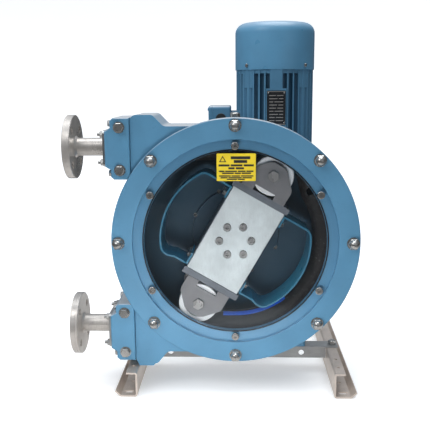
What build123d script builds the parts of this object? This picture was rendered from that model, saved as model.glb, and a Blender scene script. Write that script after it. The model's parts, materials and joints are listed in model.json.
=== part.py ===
from build123d import *
import os
from math import cos, pi, radians, sin, sqrt

# A hose pump: a drum housing with a clear front window, a rubber hose laid round the inside of
# the drum, a rotor with two rollers that squeeze it, a worm gearbox and a vertical motor behind,
# all on a frame of two channel legs and two cross beams.
#
# The row frame has +Z up and the window facing -Y. The origin is on the floor, midway between
# the four anchor slots. Most planes below are measured from the pump axis: "depth" is the
# distance behind the front face of the cover, "height" is above the axis.

# ---- driving dimensions, mm ----
AXIS_Z = 364.0
ANCHOR_SPACING_X = 508.0
ANCHOR_SPACING_Y = 492.0
FACE_Y = -ANCHOR_SPACING_Y / 2 + 10
RUNNING_GAP = 0.05
SOFT_GAP = 0.3

# hose and track
TRACK_R = 251.0
HOSE_OD = 66.0
HOSE_ID = 40.0
HOSE_WALL = (HOSE_OD - HOSE_ID) / 2
HOSE_DEPTH = 75.0
HOSE_END_X = -280.0
TRACK_SIDE_R = TRACK_R - SOFT_GAP
PORT_HEIGHT = TRACK_SIDE_R - HOSE_OD / 2
SQUEEZED = 2 * HOSE_WALL + 1.0

# rotor and rollers
ROTOR_TILT = 30.0
ROLLER_ORBIT_R = 176.0
ROLLER_ANGLE = 90.0 - ROTOR_TILT
DIP_X = -ROLLER_ORBIT_R * cos(radians(ROLLER_ANGLE))
ROLLER_CONTACT_R = TRACK_SIDE_R - SQUEEZED - SOFT_GAP
ROLLER_R = ROLLER_CONTACT_R - ROLLER_ORBIT_R
ROLLER_WIDTH = 88.0
ROLLER_RIM = 13.0
ROLLER_RECESS = 20.0
PIN_R = 12.0
ROTOR_FRONT = 28.0
FRONT_PLATE_T = 10.0
ROTOR_BACK = 118.0
ROTOR_HALF_W = 70.0
ROTOR_HALF_L = 111.0
PRESSURE_PLATE_T = 15.0
BRACKET_T = 6.0

# housing and cover
FLANGE_R = 287.0
FLANGE_T = 18.0
DRUM_R = 268.0
HOUSING_BACK = 153.0
BACK_WALL = 12.0
COVER_T = 13.0
SPIGOT_T = 9.0
WINDOW_OPENING_R = 212.6
RECESS_R = 239.0
RECESS_DEPTH = 10.0
WINDOW_T = 8.0
WINDOW_GASKET_T = 1.5
WINDOW_GASKET_WIDTH = 3.0
STUD_CIRCLE_R = 270.0
STUD_R = 8.0
WINDOW_SCREW_CIRCLE_R = 224.5
BOSS_X = -238.0
BOSS_TOP = 295.0
BOSS_HALF = 70.0
TUNNEL_R = HOSE_OD / 2 + 0.5

# ports
CLAMP_FRONT = 5.0
CLAMP_BACK = 145.0
CLAMP_NOSE_X = -296.0
CLAMP_SHOULDER_X = -283.0
PLATE_T = 6.0
STUB_R = 21.2
PORT_BORE_R = 18.0
FLANGE_FACE_X = -396.0
PORT_FLANGE_R = 75.0
PORT_FLANGE_T = 18.0
PORT_PCD = 110.0
PORT_HOLE_R = 9.0

# gearbox: a single-start worm and a wheel of module 5 on a 100 mm centre distance
MODULE = 5.0
WHEEL_TEETH = 30
GEAR_CENTRES = 100.0
WORM_PITCH_R = GEAR_CENTRES - MODULE * WHEEL_TEETH / 2
GEAR_DEPTH = 265.0
TOOTH_T = 5.6
SHAFT_SEAL_R = 32.5
WHEEL_SEAT_R = 30.0
SHAFT_TAIL_R = 27.5

# motor
MOTOR_R = 98.0
COWL_R = 100.5
MOTOR_BASE = 180.0
COWL_BOTTOM = 396.0
COWL_TOP = 512.0
MOTOR_SHAFT_R = 14.0

# frame
LEG_HEIGHT = 60.0
LEG_SHEET = 4.0
LEG_WEB_X = 231.0
LEG_FRONT = -32.0
LEG_LENGTH = 540.0
BEAM_T = 3.0
BEAM_WIDTH = 41.0
BEAM_DROP = 30.0
BEAM_BOLT_X = 248.0
BEAM_BOLT_R = 5.5
FRONT_BEAM_DEPTH = 135.0
REAR_BEAM_DEPTH = 420.0
LEG_TOP = LEG_HEIGHT - AXIS_Z


# ---- planes ----
def front(depth, tilt=0.0):
    """Plane across the pump axis, facing the viewer; tilt turns it clockwise as seen."""
    turn = radians(tilt)
    return Plane(origin=(0, FACE_Y + depth, AXIS_Z), x_dir=(cos(turn), 0, -sin(turn)),
                 z_dir=(0, -1, 0))


def leftward(x, height=0.0):
    """Plane facing -X; its own x runs from the hose's depth towards the viewer."""
    return Plane(origin=(x, FACE_Y + HOSE_DEPTH, AXIS_Z + height), x_dir=(0, -1, 0),
                 z_dir=(-1, 0, 0))


def level(height, x=0.0, depth=0.0):
    """Plane facing up at a height over the pump axis; its own y is depth."""
    return Plane(origin=(x, FACE_Y + depth, AXIS_Z + height), x_dir=(1, 0, 0), z_dir=(0, 0, 1))


def polar(radius, count, start=0.0):
    """Points evenly spaced on a circle."""
    angles = [radians(start + 360.0 * i / count) for i in range(count)]
    return [(radius * cos(a), radius * sin(a)) for a in angles]


# ---- fasteners ----
def hex_bolts(plane, points, flats, head, shank_r, length, washer_r=0.0, washer_t=2.5):
    """Hexagon bolts: heads stand out along the plane's normal, shanks go in behind it."""
    seat = plane.offset(washer_t if washer_r else 0.0)
    with BuildPart() as bolts:
        with BuildSketch(seat):
            with Locations(*points):
                RegularPolygon(radius=flats / 2, side_count=6, major_radius=False)
        extrude(amount=head)
        chamfer(bolts.faces().filter_by(lambda f: f.normal_at().dot(plane.z_dir) > 0.9).edges(),
                head * 0.12)
        with BuildSketch(seat):
            with Locations(*points):
                Circle(shank_r)
        extrude(amount=-length)
    if not washer_r:
        return bolts
    with BuildPart() as washers:
        with BuildSketch(plane):
            with Locations(*points):
                Circle(washer_r)
                Circle(shank_r, mode=Mode.SUBTRACT)
        extrude(amount=washer_t)
    return group(bolts, washers)


def group(*pieces):
    """Separate solids that share one node."""
    with BuildPart() as together:
        for piece in pieces:
            add(piece.part)
    return together


# ---- drum housing ----
def boss_outline(side):
    """Casting round the straight run of the hose, with the thick block that takes the clamp."""
    lower = 5.0 if side < 0 else 0.0
    points = [(0, 100), (0, DRUM_R), (-162, DRUM_R), (-187, BOSS_TOP + lower - 1),
              (BOSS_X, BOSS_TOP + lower - 1), (BOSS_X, PORT_HEIGHT - BOSS_HALF), (-200, 100)]
    return [(x, side * y) for x, y in points]


FOOT_X = 150.0
FOOT_WIDTH = 56.0
FOOT_DEPTH = 38.0
PAD_DEPTH = 112.0
SEAL_HOUSING_R = 60.0
BOSS_BORE_R = 108.0
GEARBOX_BOLT_R = 108.0

with BuildPart() as pump_housing:
    with BuildSketch(front(HOUSING_BACK)):
        Circle(DRUM_R)
        for side in (1, -1):
            with BuildSketch(mode=Mode.PRIVATE) as outline:
                Polygon(*boss_outline(side), align=None)
                fillet([v for v in outline.vertices() if v.X < -160 and abs(v.Y) > 240], 14)
            add(outline.sketch)
    extrude(amount=HOUSING_BACK - COVER_T)
    with BuildSketch(front(COVER_T + FLANGE_T)):
        Circle(FLANGE_R)
    extrude(amount=FLANGE_T)
    # the pad under the lower boss that stands on the left leg
    with BuildSketch(front(COVER_T + PAD_DEPTH)):
        Polygon((-231, LEG_TOP), (-197, LEG_TOP), (-184, LEG_TOP + 14), (-236, LEG_TOP + 14),
                align=None)
    extrude(amount=PAD_DEPTH)
    # two feet that stand on the front cross beam
    with BuildSketch(level(LEG_TOP + BEAM_T, 0, FRONT_BEAM_DEPTH + BEAM_WIDTH / 2)):
        with Locations((FOOT_X, 0), (-FOOT_X, 0)):
            RectangleRounded(FOOT_WIDTH, FOOT_DEPTH, 6)
    extrude(amount=86)
    # drum cavity, with a raised ring on its back wall
    with BuildSketch(front(HOUSING_BACK - BACK_WALL)):
        Circle(TRACK_R)
    extrude(amount=HOUSING_BACK, mode=Mode.SUBTRACT)
    with BuildSketch(front(HOUSING_BACK - BACK_WALL)):
        Circle(BOSS_BORE_R)
    extrude(amount=10, taper=10)
    with BuildSketch(front(HOUSING_BACK)):
        Circle(SEAL_HOUSING_R)
        with Locations(*polar(GEARBOX_BOLT_R, 8, 22.5)):
            Circle(5)
    extrude(amount=BACK_WALL + 20, mode=Mode.SUBTRACT)
    with BuildSketch(front(COVER_T)):
        with Locations(*polar(STUD_CIRCLE_R, 8)):
            Circle(STUD_R)
    extrude(amount=-FLANGE_T + 2, mode=Mode.SUBTRACT)
    with BuildSketch(leftward(0)):
        with Locations((0, PORT_HEIGHT), (0, -PORT_HEIGHT)):
            Circle(TUNNEL_R)
    extrude(amount=-BOSS_X + 60, mode=Mode.SUBTRACT)
    # the tunnels widen where a roller presses the hose flat
    with BuildSketch(leftward(0)):
        with Locations((0, PORT_HEIGHT), (0, -PORT_HEIGHT)):
            RectangleRounded(2 * TUNNEL_R + 12, 2 * TUNNEL_R, TUNNEL_R - 3.5)
    extrude(amount=2 * -DIP_X + 4, mode=Mode.SUBTRACT)
    # tapped holes for the breather above and the drain below
    with BuildSketch(level(0, 0, HOSE_DEPTH + 5)):
        Circle(9)
    extrude(amount=DRUM_R + 2, both=True, mode=Mode.SUBTRACT)
    with BuildSketch(level(LEG_TOP + BEAM_T, 0, FRONT_BEAM_DEPTH + BEAM_WIDTH / 2)):
        with Locations((FOOT_X, 0), (-FOOT_X, 0)):
            Circle(6)
    extrude(amount=30, mode=Mode.SUBTRACT)

with BuildPart() as cover_gasket:
    with BuildSketch(front(COVER_T + SPIGOT_T)):
        Circle(TRACK_R - 1.0)
        Circle(TRACK_R - 5.0, mode=Mode.SUBTRACT)
    extrude(amount=-3.0)

with BuildPart() as front_cover_ring:
    with BuildSketch(front(COVER_T)):
        Circle(FLANGE_R)
    extrude(amount=COVER_T)
    chamfer(front_cover_ring.edges().filter_by(GeomType.CIRCLE), 1.5)
    with BuildSketch(front(COVER_T + SPIGOT_T)):
        Circle(TRACK_R - 0.5)
    extrude(amount=SPIGOT_T)
    with BuildSketch(front(RECESS_DEPTH)):
        Circle(RECESS_R)
    extrude(amount=RECESS_DEPTH, mode=Mode.SUBTRACT)
    with BuildSketch(front(COVER_T + SPIGOT_T)):
        Circle(WINDOW_OPENING_R)
        with Locations(*polar(WINDOW_SCREW_CIRCLE_R, 6, 90)):
            Circle(4)
        with Locations(*polar(STUD_CIRCLE_R, 8)):
            Circle(STUD_R + 1)
    extrude(amount=COVER_T + SPIGOT_T, mode=Mode.SUBTRACT)

# ---- window ----
with BuildPart() as window_gasket:
    with BuildSketch(front(RECESS_DEPTH)):
        Circle(WINDOW_OPENING_R + 0.5 + WINDOW_GASKET_WIDTH)
        Circle(WINDOW_OPENING_R + 0.5, mode=Mode.SUBTRACT)
    extrude(amount=WINDOW_GASKET_T)

with BuildPart() as inspection_window:
    with BuildSketch(front(RECESS_DEPTH - WINDOW_GASKET_T)):
        Circle(RECESS_R - 0.5)
        with Locations(*polar(WINDOW_SCREW_CIRCLE_R, 6, 90)):
            Circle(4.5, mode=Mode.SUBTRACT)
    extrude(amount=WINDOW_T)
    chamfer(inspection_window.edges().group_by(Axis.Y)[0].sort_by(SortBy.LENGTH)[-1], 0.8)
WINDOW_FACE = RECESS_DEPTH - WINDOW_GASKET_T - WINDOW_T

with BuildPart() as window_screws:
    with BuildSketch(front(WINDOW_FACE)):
        with Locations(*polar(WINDOW_SCREW_CIRCLE_R, 6, 90)):
            Circle(9)
    extrude(amount=6)
    fillet(window_screws.edges().group_by(Axis.Y)[0], 2.4)
    with BuildSketch(front(WINDOW_FACE - 6)):
        with Locations(*polar(WINDOW_SCREW_CIRCLE_R, 6, 90)):
            RegularPolygon(radius=3, side_count=6, major_radius=False)
    extrude(amount=-3.5, mode=Mode.SUBTRACT)
    with BuildSketch(front(WINDOW_FACE)):
        with Locations(*polar(WINDOW_SCREW_CIRCLE_R, 6, 90)):
            Circle(4)
    extrude(amount=-20)

with BuildPart() as caution_label:
    with BuildSketch(front(WINDOW_FACE)):
        with Locations((2.6, 176.1)):
            RectangleRounded(88.3, 62.4, 2)
    extrude(amount=0.4)

# ---- cover studs and acorn nuts ----
NUT_FLATS = 24.0
NUT_HEIGHT = 11.0
DOME_R = 11.2

with BuildPart() as cover_studs:
    with BuildSketch(front(COVER_T + FLANGE_T - 2)):
        with Locations(*polar(STUD_CIRCLE_R, 8)):
            Circle(STUD_R)
    extrude(amount=COVER_T + FLANGE_T - 2 + 12)

with BuildPart() as nut_bodies:
    with BuildSketch(front(-2.5)):
        with Locations(*polar(STUD_CIRCLE_R, 8)):
            RegularPolygon(radius=NUT_FLATS / 2, side_count=6, major_radius=False)
    extrude(amount=NUT_HEIGHT)
    chamfer(nut_bodies.edges().group_by(Axis.Y)[0], 1.2)
    with Locations(*[front(-2.5 - NUT_HEIGHT + 1) * Location((x, z, 0))
                     for x, z in polar(STUD_CIRCLE_R, 8)]):
        Sphere(DOME_R)
    with BuildSketch(front(0)):
        Circle(FLANGE_R + 20)
    extrude(amount=2.5, mode=Mode.SUBTRACT)
    with BuildSketch(front(-2.5)):
        with Locations(*polar(STUD_CIRCLE_R, 8)):
            Circle(STUD_R)
    extrude(amount=NUT_HEIGHT, mode=Mode.SUBTRACT)

with BuildPart() as nut_washers:
    with BuildSketch(front(0)):
        with Locations(*polar(STUD_CIRCLE_R, 8)):
            Circle(14.5)
            Circle(STUD_R, mode=Mode.SUBTRACT)
    extrude(amount=2.5)
cover_nuts = group(nut_bodies, nut_washers)

# ---- hose ----
HALF_TURN = pi
MID_WALL_LENGTH = HALF_TURN * (HOSE_OD + HOSE_ID) / 2


def hose_ellipse(thickness, wall):
    """Half axes of the hose's section when it is squeezed to a thickness; wall is taken off."""
    flat = (MID_WALL_LENGTH - HALF_TURN * (thickness - HOSE_WALL)) / 2
    return thickness / 2 - wall, (flat + thickness) / 2 - wall


def bell(share):
    """Smooth rise and fall: 0 at -1 and 1, and 1 at 0."""
    return cos(HALF_TURN / 2 * share) ** 2


SQUEEZE_SPAN = 30.0
STEPS = 4
REST_DIP = HOSE_OD - 50.0


def section_plane(radius, angle):
    """Plane across the bent hose, with its own x along the pump's radius."""
    turn = radians(angle)
    outward = (cos(turn), 0, sin(turn))
    return Plane(origin=(radius * outward[0], FACE_Y + HOSE_DEPTH, AXIS_Z + radius * outward[2]),
                 x_dir=outward, z_dir=(sin(turn), 0, -cos(turn)))


def hose_body(wall):
    """The hose from port to port, solid, with wall taken off its outside."""
    with BuildPart() as body:
        with BuildSketch(leftward(0, PORT_HEIGHT)):
            Circle(HOSE_OD / 2 - wall)
        extrude(amount=-HOSE_END_X)
        for i in range(-STEPS, STEPS + 1):
            thickness = HOSE_OD - (HOSE_OD - SQUEEZED) * bell(i / STEPS)
            radial, axial = hose_ellipse(thickness, wall)
            plane = section_plane(TRACK_SIDE_R - thickness / 2,
                                  ROLLER_ANGLE - SQUEEZE_SPAN * i / STEPS)
            with BuildSketch(plane):
                Ellipse(radial, axial)
        loft()
        with BuildSketch(section_plane(PORT_HEIGHT, ROLLER_ANGLE - SQUEEZE_SPAN)):
            Circle(HOSE_OD / 2 - wall)
        revolve(axis=Axis((0, FACE_Y, AXIS_Z), (0, 1, 0)),
                revolution_arc=90 + ROLLER_ANGLE - SQUEEZE_SPAN)
        for i in range(-STEPS, STEPS + 1):
            thickness = HOSE_OD - REST_DIP * bell(i / STEPS)
            radial, axial = hose_ellipse(thickness, wall)
            with BuildSketch(leftward(DIP_X * (1 + i / STEPS), thickness / 2 - TRACK_SIDE_R)):
                Ellipse(axial, radial)
        loft()
        with BuildSketch(leftward(2 * DIP_X, -PORT_HEIGHT)):
            Circle(HOSE_OD / 2 - wall)
        extrude(amount=2 * DIP_X - HOSE_END_X)
    return body


hose_outside = hose_body(0)
hose_lumen = hose_body(HOSE_WALL)
with BuildPart() as pump_hose:
    add(hose_outside.part)
    add(hose_lumen.part, mode=Mode.SUBTRACT)


# ---- ports ----
def mirrored(points, side):
    """Outline points about the port's own axis, put at the upper or the lower port."""
    return [(x, side * (PORT_HEIGHT + z)) for x, z in points]


def port_clamp(side):
    """Cast block that grips the hose end on its insert."""
    half = [(BOSS_X - 1, 70), (-276, 70), (CLAMP_SHOULDER_X, 64), (CLAMP_SHOULDER_X, 48),
            (CLAMP_NOSE_X, 40)]
    points = half + [(x, -z) for x, z in reversed(half)]
    with BuildPart() as clamp:
        with BuildSketch(front(CLAMP_BACK)):
            Polygon(*mirrored(points, side), align=None)
        extrude(amount=CLAMP_BACK - CLAMP_FRONT)
        chamfer(clamp.faces().sort_by(Axis.Y)[0].edges(), 2)
        # corner cut away where the round flange passes
        with BuildSketch(front(COVER_T + FLANGE_T + 1)):
            Circle(FLANGE_R + 1)
        extrude(amount=COVER_T + FLANGE_T + 20, mode=Mode.SUBTRACT)
        with BuildSketch(leftward(BOSS_X, side * PORT_HEIGHT)):
            Circle(HOSE_OD / 2)
        extrude(amount=BOSS_X - HOSE_END_X, mode=Mode.SUBTRACT)
        with BuildSketch(leftward(BOSS_X, side * PORT_HEIGHT)):
            Circle(STUB_R)
        extrude(amount=100, mode=Mode.SUBTRACT)
        with BuildSketch(front(CLAMP_FRONT)):
            with Locations((-262, side * PORT_HEIGHT + 48.5), (-262, side * PORT_HEIGHT - 48.5)):
                Circle(6)
        extrude(amount=-60, mode=Mode.SUBTRACT)
        with BuildSketch(leftward(CLAMP_NOSE_X - 10, side * PORT_HEIGHT)):
            with GridLocations(96, 114, 2, 2):
                Circle(5)
            with GridLocations(100, 64, 2, 2):
                Circle(4)
        extrude(amount=-64, mode=Mode.SUBTRACT)
    return clamp


def port_insert(side):
    """Stainless tube: its barbed end sits inside the hose, its stub carries the flange."""
    inside = HOSE_ID / 2
    with BuildPart() as insert:
        with BuildSketch(front(HOSE_DEPTH)):
            profile = [(FLANGE_FACE_X, PORT_BORE_R), (FLANGE_FACE_X, STUB_R),
                       (HOSE_END_X, STUB_R), (HOSE_END_X, inside)]
            for step in range(3):
                start = HOSE_END_X + 10 + 10 * step
                profile += [(start, inside - 1), (start, inside)]
            profile += [(BOSS_X - 2, inside - 0.6), (BOSS_X - 2, PORT_BORE_R)]
            Polygon(*[(x, side * PORT_HEIGHT + z) for x, z in profile], align=None)
        axis = Axis((0, FACE_Y + HOSE_DEPTH, AXIS_Z + side * PORT_HEIGHT), (1, 0, 0))
        revolve(axis=axis)
    return insert


def port_flange(side):
    """Weld-on flange with a raised face and four bolt holes."""
    with BuildPart() as flange:
        with BuildSketch(leftward(FLANGE_FACE_X + 2 + PORT_FLANGE_T, side * PORT_HEIGHT)):
            Circle(PORT_FLANGE_R)
        extrude(amount=PORT_FLANGE_T)
        chamfer(flange.edges().filter_by(GeomType.CIRCLE), 1.2)
        with BuildSketch(leftward(FLANGE_FACE_X + 2, side * PORT_HEIGHT)):
            Circle(44)
        extrude(amount=2)
        with BuildSketch(leftward(FLANGE_FACE_X + 2 + PORT_FLANGE_T, side * PORT_HEIGHT)):
            Circle(STUB_R + 5)
        extrude(amount=-5, taper=44)
        with BuildSketch(leftward(FLANGE_FACE_X + 40, side * PORT_HEIGHT)):
            Circle(STUB_R)
            with Locations(*polar(PORT_PCD / 2, 4, 45)):
                Circle(PORT_HOLE_R)
        extrude(amount=60, mode=Mode.SUBTRACT)
    return flange


def retaining_plate(side):
    """Plate bolted over the clamp's nose; it stops the insert from being pushed out."""
    with BuildPart() as plate:
        with BuildSketch(leftward(CLAMP_NOSE_X, side * PORT_HEIGHT)):
            RectangleRounded(124, 82, 8)
            Circle(STUB_R, mode=Mode.SUBTRACT)
            with GridLocations(100, 64, 2, 2):
                Circle(4, mode=Mode.SUBTRACT)
        extrude(amount=PLATE_T)
    return plate


def clamp_bolt_set(side):
    """Front, side and plate bolts of one port."""
    height = side * PORT_HEIGHT
    face = hex_bolts(front(CLAMP_FRONT), [(-262, height + 48.5), (-262, height - 48.5)],
                     20, 9, 6, 60, washer_r=13)
    flank = hex_bolts(leftward(CLAMP_SHOULDER_X, height),
                      [(s * 48, t * 57) for s in (1, -1) for t in (1, -1)], 14, 8, 5, 40)
    nose = hex_bolts(leftward(CLAMP_NOSE_X - PLATE_T, height),
                     [(s * 50, t * 32) for s in (1, -1) for t in (1, -1)], 14, 7, 4, 30)
    with BuildPart() as tips:
        with BuildSketch(leftward(CLAMP_NOSE_X - PLATE_T - 7, height)):
            with GridLocations(100, 64, 2, 2):
                Circle(4)
        extrude(amount=6)
    return face, flank, nose, tips


upper_port_clamp = port_clamp(1)
lower_port_clamp = port_clamp(-1)
upper_port_insert = port_insert(1)
lower_port_insert = port_insert(-1)
upper_port_flange = port_flange(1)
lower_port_flange = port_flange(-1)
upper_retaining_plate = retaining_plate(1)
lower_retaining_plate = retaining_plate(-1)
port_clamp_bolts = group(*clamp_bolt_set(1), *clamp_bolt_set(-1))

# ---- plugs ----
PLUG_DEPTH = HOSE_DEPTH + 5

with BuildPart() as breather_plug:
    with BuildSketch(level(DRUM_R - 10, 0, PLUG_DEPTH)):
        Circle(9)
    extrude(amount=10)
    with BuildSketch(level(DRUM_R, 0, PLUG_DEPTH)):
        RegularPolygon(radius=13, side_count=6, major_radius=False)
    extrude(amount=8)
    with BuildSketch(level(DRUM_R + 8, 0, PLUG_DEPTH)):
        Circle(7)
    extrude(amount=6)
    with BuildSketch(level(DRUM_R + 14, 0, PLUG_DEPTH)):
        Circle(12)
    extrude(amount=14)
    fillet(breather_plug.edges().group_by(Axis.Z)[-1], 4)

with BuildPart() as drain_plug:
    with BuildSketch(level(-DRUM_R + 10, 0, PLUG_DEPTH)):
        Circle(9)
    extrude(amount=-10)
    with BuildSketch(level(-DRUM_R, 0, PLUG_DEPTH)):
        RegularPolygon(radius=12, side_count=6, major_radius=False)
    extrude(amount=-9)

with BuildPart() as shaft_seal:
    with BuildSketch(front(HOUSING_BACK)):
        Circle(SEAL_HOUSING_R)
        Circle(SHAFT_SEAL_R + RUNNING_GAP, mode=Mode.SUBTRACT)
    extrude(amount=BACK_WALL)


# ---- frame ----
def leg(side):
    """Channel leg of bent sheet: its web is on the inside and its floor flange ends in a lip."""
    outer = [(LEG_WEB_X + 26, LEG_TOP), (LEG_WEB_X, LEG_TOP), (LEG_WEB_X, -AXIS_Z),
             (LEG_WEB_X + 41, -AXIS_Z), (LEG_WEB_X + 54, 13 - AXIS_Z)]
    with BuildPart() as channel:
        with BuildSketch(front(LEG_FRONT + LEG_LENGTH)):
            with BuildLine():
                bend = FilletPolyline(*[(side * x, z) for x, z in outer], radius=6)
                offset(bend, LEG_SHEET, side=Side.LEFT if side > 0 else Side.RIGHT)
            make_face()
        extrude(amount=LEG_LENGTH)
        with BuildSketch(level(-AXIS_Z, 0, -FACE_Y)):
            with Locations((side * ANCHOR_SPACING_X / 2, ANCHOR_SPACING_Y / 2),
                           (side * ANCHOR_SPACING_X / 2, -ANCHOR_SPACING_Y / 2)):
                SlotOverall(22, 12)
            with Locations((side * ANCHOR_SPACING_X / 2, ANCHOR_SPACING_Y / 2 - 58),
                           (side * ANCHOR_SPACING_X / 2, 58 - ANCHOR_SPACING_Y / 2)):
                Circle(4.5)
        extrude(amount=10, mode=Mode.SUBTRACT)
        with BuildSketch(level(LEG_TOP - 10)):
            with Locations((side * 245, 10), (side * 245, 60)):
                Circle(4)
            for depth in (FRONT_BEAM_DEPTH, REAR_BEAM_DEPTH):
                with Locations((side * BEAM_BOLT_X, depth + BEAM_WIDTH / 2)):
                    Circle(BEAM_BOLT_R)
        extrude(amount=20, mode=Mode.SUBTRACT)
    return channel


def cross_beam(depth, facing):
    """Angle beam across the leg tops; its apron hangs between the legs, at one edge."""
    edge = depth + BEAM_T if facing > 0 else depth + BEAM_WIDTH
    with BuildPart() as beam:
        with BuildSketch(level(LEG_TOP, 0, depth + BEAM_WIDTH / 2)):
            Rectangle(2 * (LEG_WEB_X + 31), BEAM_WIDTH)
        extrude(amount=BEAM_T)
        with BuildSketch(front(edge)):
            with Locations((0, LEG_TOP - (BEAM_DROP - BEAM_T) / 2)):
                Rectangle(2 * LEG_WEB_X - 2, BEAM_DROP - BEAM_T)
        extrude(amount=BEAM_T)
        with BuildSketch(level(LEG_TOP, 0, depth + BEAM_WIDTH / 2)):
            with Locations((BEAM_BOLT_X, 0), (-BEAM_BOLT_X, 0)):
                Circle(BEAM_BOLT_R)
            with Locations((FOOT_X, 0), (-FOOT_X, 0)):
                Circle(6)
        extrude(amount=BEAM_T, mode=Mode.SUBTRACT)
        with BuildSketch(front(edge)):
            with Locations((168, LEG_TOP - 13), (-168, LEG_TOP - 13)):
                Circle(7)
        extrude(amount=BEAM_T, mode=Mode.SUBTRACT)
    return beam


left_leg = leg(-1)
right_leg = leg(1)
front_cross_beam = cross_beam(FRONT_BEAM_DEPTH, 1)
rear_cross_beam = cross_beam(REAR_BEAM_DEPTH, -1)

beam_top = LEG_TOP + BEAM_T
beam_bolts = [hex_bolts(level(beam_top, 0, depth + BEAM_WIDTH / 2), [(BEAM_BOLT_X, 0), (-BEAM_BOLT_X, 0)],
                        17, 8, BEAM_BOLT_R, 18, washer_r=11)
              for depth in (FRONT_BEAM_DEPTH, REAR_BEAM_DEPTH)]
under_beam = Plane(origin=(0, FACE_Y + FRONT_BEAM_DEPTH + BEAM_WIDTH / 2, AXIS_Z + LEG_TOP),
                   x_dir=(1, 0, 0), z_dir=(0, 0, -1))
foot_bolts = hex_bolts(under_beam, [(FOOT_X, 0), (-FOOT_X, 0)], 19, 8, 6, 26)
frame_bolts = group(*beam_bolts, foot_bolts)

# ---- gearbox ----
GEARBOX_FLANGE_R = 122.0
GEARBOX_FLANGE_T = 15.0
WHEEL_CASE_R = 100.0
WHEEL_CASE_FRONT = 204.0
WHEEL_CASE_BACK = 326.0
WHEEL_CAVITY_R = 86.0
TUNNEL_CASE_R = 54.0
WORM_CASE_BOTTOM = -98.0
FRONT_BEARING_R = 60.0
MOTOR_FLANGE_R = 80.0
WORM_LOW_R = 17.5
WORM_HIGH_R = 22.5
WORM_LOW_BEARING_R = 36.0
WORM_HIGH_BEARING_R = 42.5
WORM_CAVITY_R = 34.0
REAR_COVER_SCREW_R = 94.0

with BuildPart() as gearbox_housing:
    with BuildSketch(front(HOUSING_BACK + GEARBOX_FLANGE_T)):
        Circle(GEARBOX_FLANGE_R)
    extrude(amount=GEARBOX_FLANGE_T)
    with BuildSketch(front(WHEEL_CASE_FRONT)):
        Circle(80)
    extrude(amount=WHEEL_CASE_FRONT - HOUSING_BACK)
    with BuildSketch(front(WHEEL_CASE_BACK)):
        Circle(WHEEL_CASE_R)
        with Locations((GEAR_CENTRES / 2, 0)):
            Rectangle(GEAR_CENTRES, 2 * WHEEL_CASE_R - 30)
    extrude(amount=WHEEL_CASE_BACK - WHEEL_CASE_FRONT)
    with BuildSketch(level(WORM_CASE_BOTTOM, GEAR_CENTRES, GEAR_DEPTH)):
        Circle(TUNNEL_CASE_R)
    extrude(amount=MOTOR_BASE - WORM_CASE_BOTTOM)
    with BuildSketch(level(MOTOR_BASE - 16, GEAR_CENTRES, GEAR_DEPTH)):
        Circle(MOTOR_FLANGE_R)
    extrude(amount=16)
    # cooling ribs down the outside of the worm tunnel
    with BuildSketch(level(-80, GEAR_CENTRES, GEAR_DEPTH)):
        with PolarLocations(TUNNEL_CASE_R, 9, start_angle=-80, angular_range=160):
            Rectangle(12, 4)
    extrude(amount=150)
    # wheel chamber, open at the back, and bearing seats on the pump axis
    with BuildSketch(front(WHEEL_CASE_BACK)):
        Circle(WHEEL_CAVITY_R)
    extrude(amount=WHEEL_CASE_BACK - 232, mode=Mode.SUBTRACT)
    with BuildSketch(front(232)):
        Circle(FRONT_BEARING_R)
    extrude(amount=232 - HOUSING_BACK, mode=Mode.SUBTRACT)
    # worm tunnel and its bearing seats
    with BuildSketch(level(-82, GEAR_CENTRES, GEAR_DEPTH)):
        Circle(WORM_LOW_BEARING_R)
    extrude(amount=22, mode=Mode.SUBTRACT)
    with BuildSketch(level(-60, GEAR_CENTRES, GEAR_DEPTH)):
        Circle(WORM_CAVITY_R)
    extrude(amount=134, mode=Mode.SUBTRACT)
    with BuildSketch(level(74, GEAR_CENTRES, GEAR_DEPTH)):
        Circle(WORM_HIGH_BEARING_R)
    extrude(amount=MOTOR_BASE - 74, mode=Mode.SUBTRACT)
    with BuildSketch(front(HOUSING_BACK)):
        with Locations(*polar(GEARBOX_BOLT_R, 8, 22.5)):
            Circle(5)
    extrude(amount=-GEARBOX_FLANGE_T, mode=Mode.SUBTRACT)
    with BuildSketch(front(WHEEL_CASE_BACK)):
        with Locations(*polar(REAR_COVER_SCREW_R - 1, 6, 30)):
            Circle(3)
    extrude(amount=15, mode=Mode.SUBTRACT)
    with BuildSketch(level(MOTOR_BASE, GEAR_CENTRES, GEAR_DEPTH)):
        with Locations(*polar(65, 4, 45)):
            Circle(4)
    extrude(amount=-16, mode=Mode.SUBTRACT)

with BuildPart() as gearbox_rear_cover:
    with BuildSketch(front(WHEEL_CASE_BACK + 10)):
        Circle(WHEEL_CASE_R - 1)
    extrude(amount=10)
    chamfer(gearbox_rear_cover.edges().group_by(Axis.Y)[-1], 2)
    with BuildSketch(front(WHEEL_CASE_BACK)):
        Circle(WHEEL_CAVITY_R - 0.2)
        Circle(50, mode=Mode.SUBTRACT)
    extrude(amount=WHEEL_CASE_BACK - 300)
    with BuildSketch(front(WHEEL_CASE_BACK + 22)):
        Circle(48)
    extrude(amount=12)
    fillet(gearbox_rear_cover.edges().group_by(Axis.Y)[-1], 4)
    with BuildSketch(front(WHEEL_CASE_BACK + 14)):
        Circle(40)
    extrude(amount=14, mode=Mode.SUBTRACT)
    with BuildSketch(front(WHEEL_CASE_BACK + 10)):
        with Locations(*polar(REAR_COVER_SCREW_R - 1, 6, 30)):
            Circle(3)
    extrude(amount=20, mode=Mode.SUBTRACT)


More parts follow.
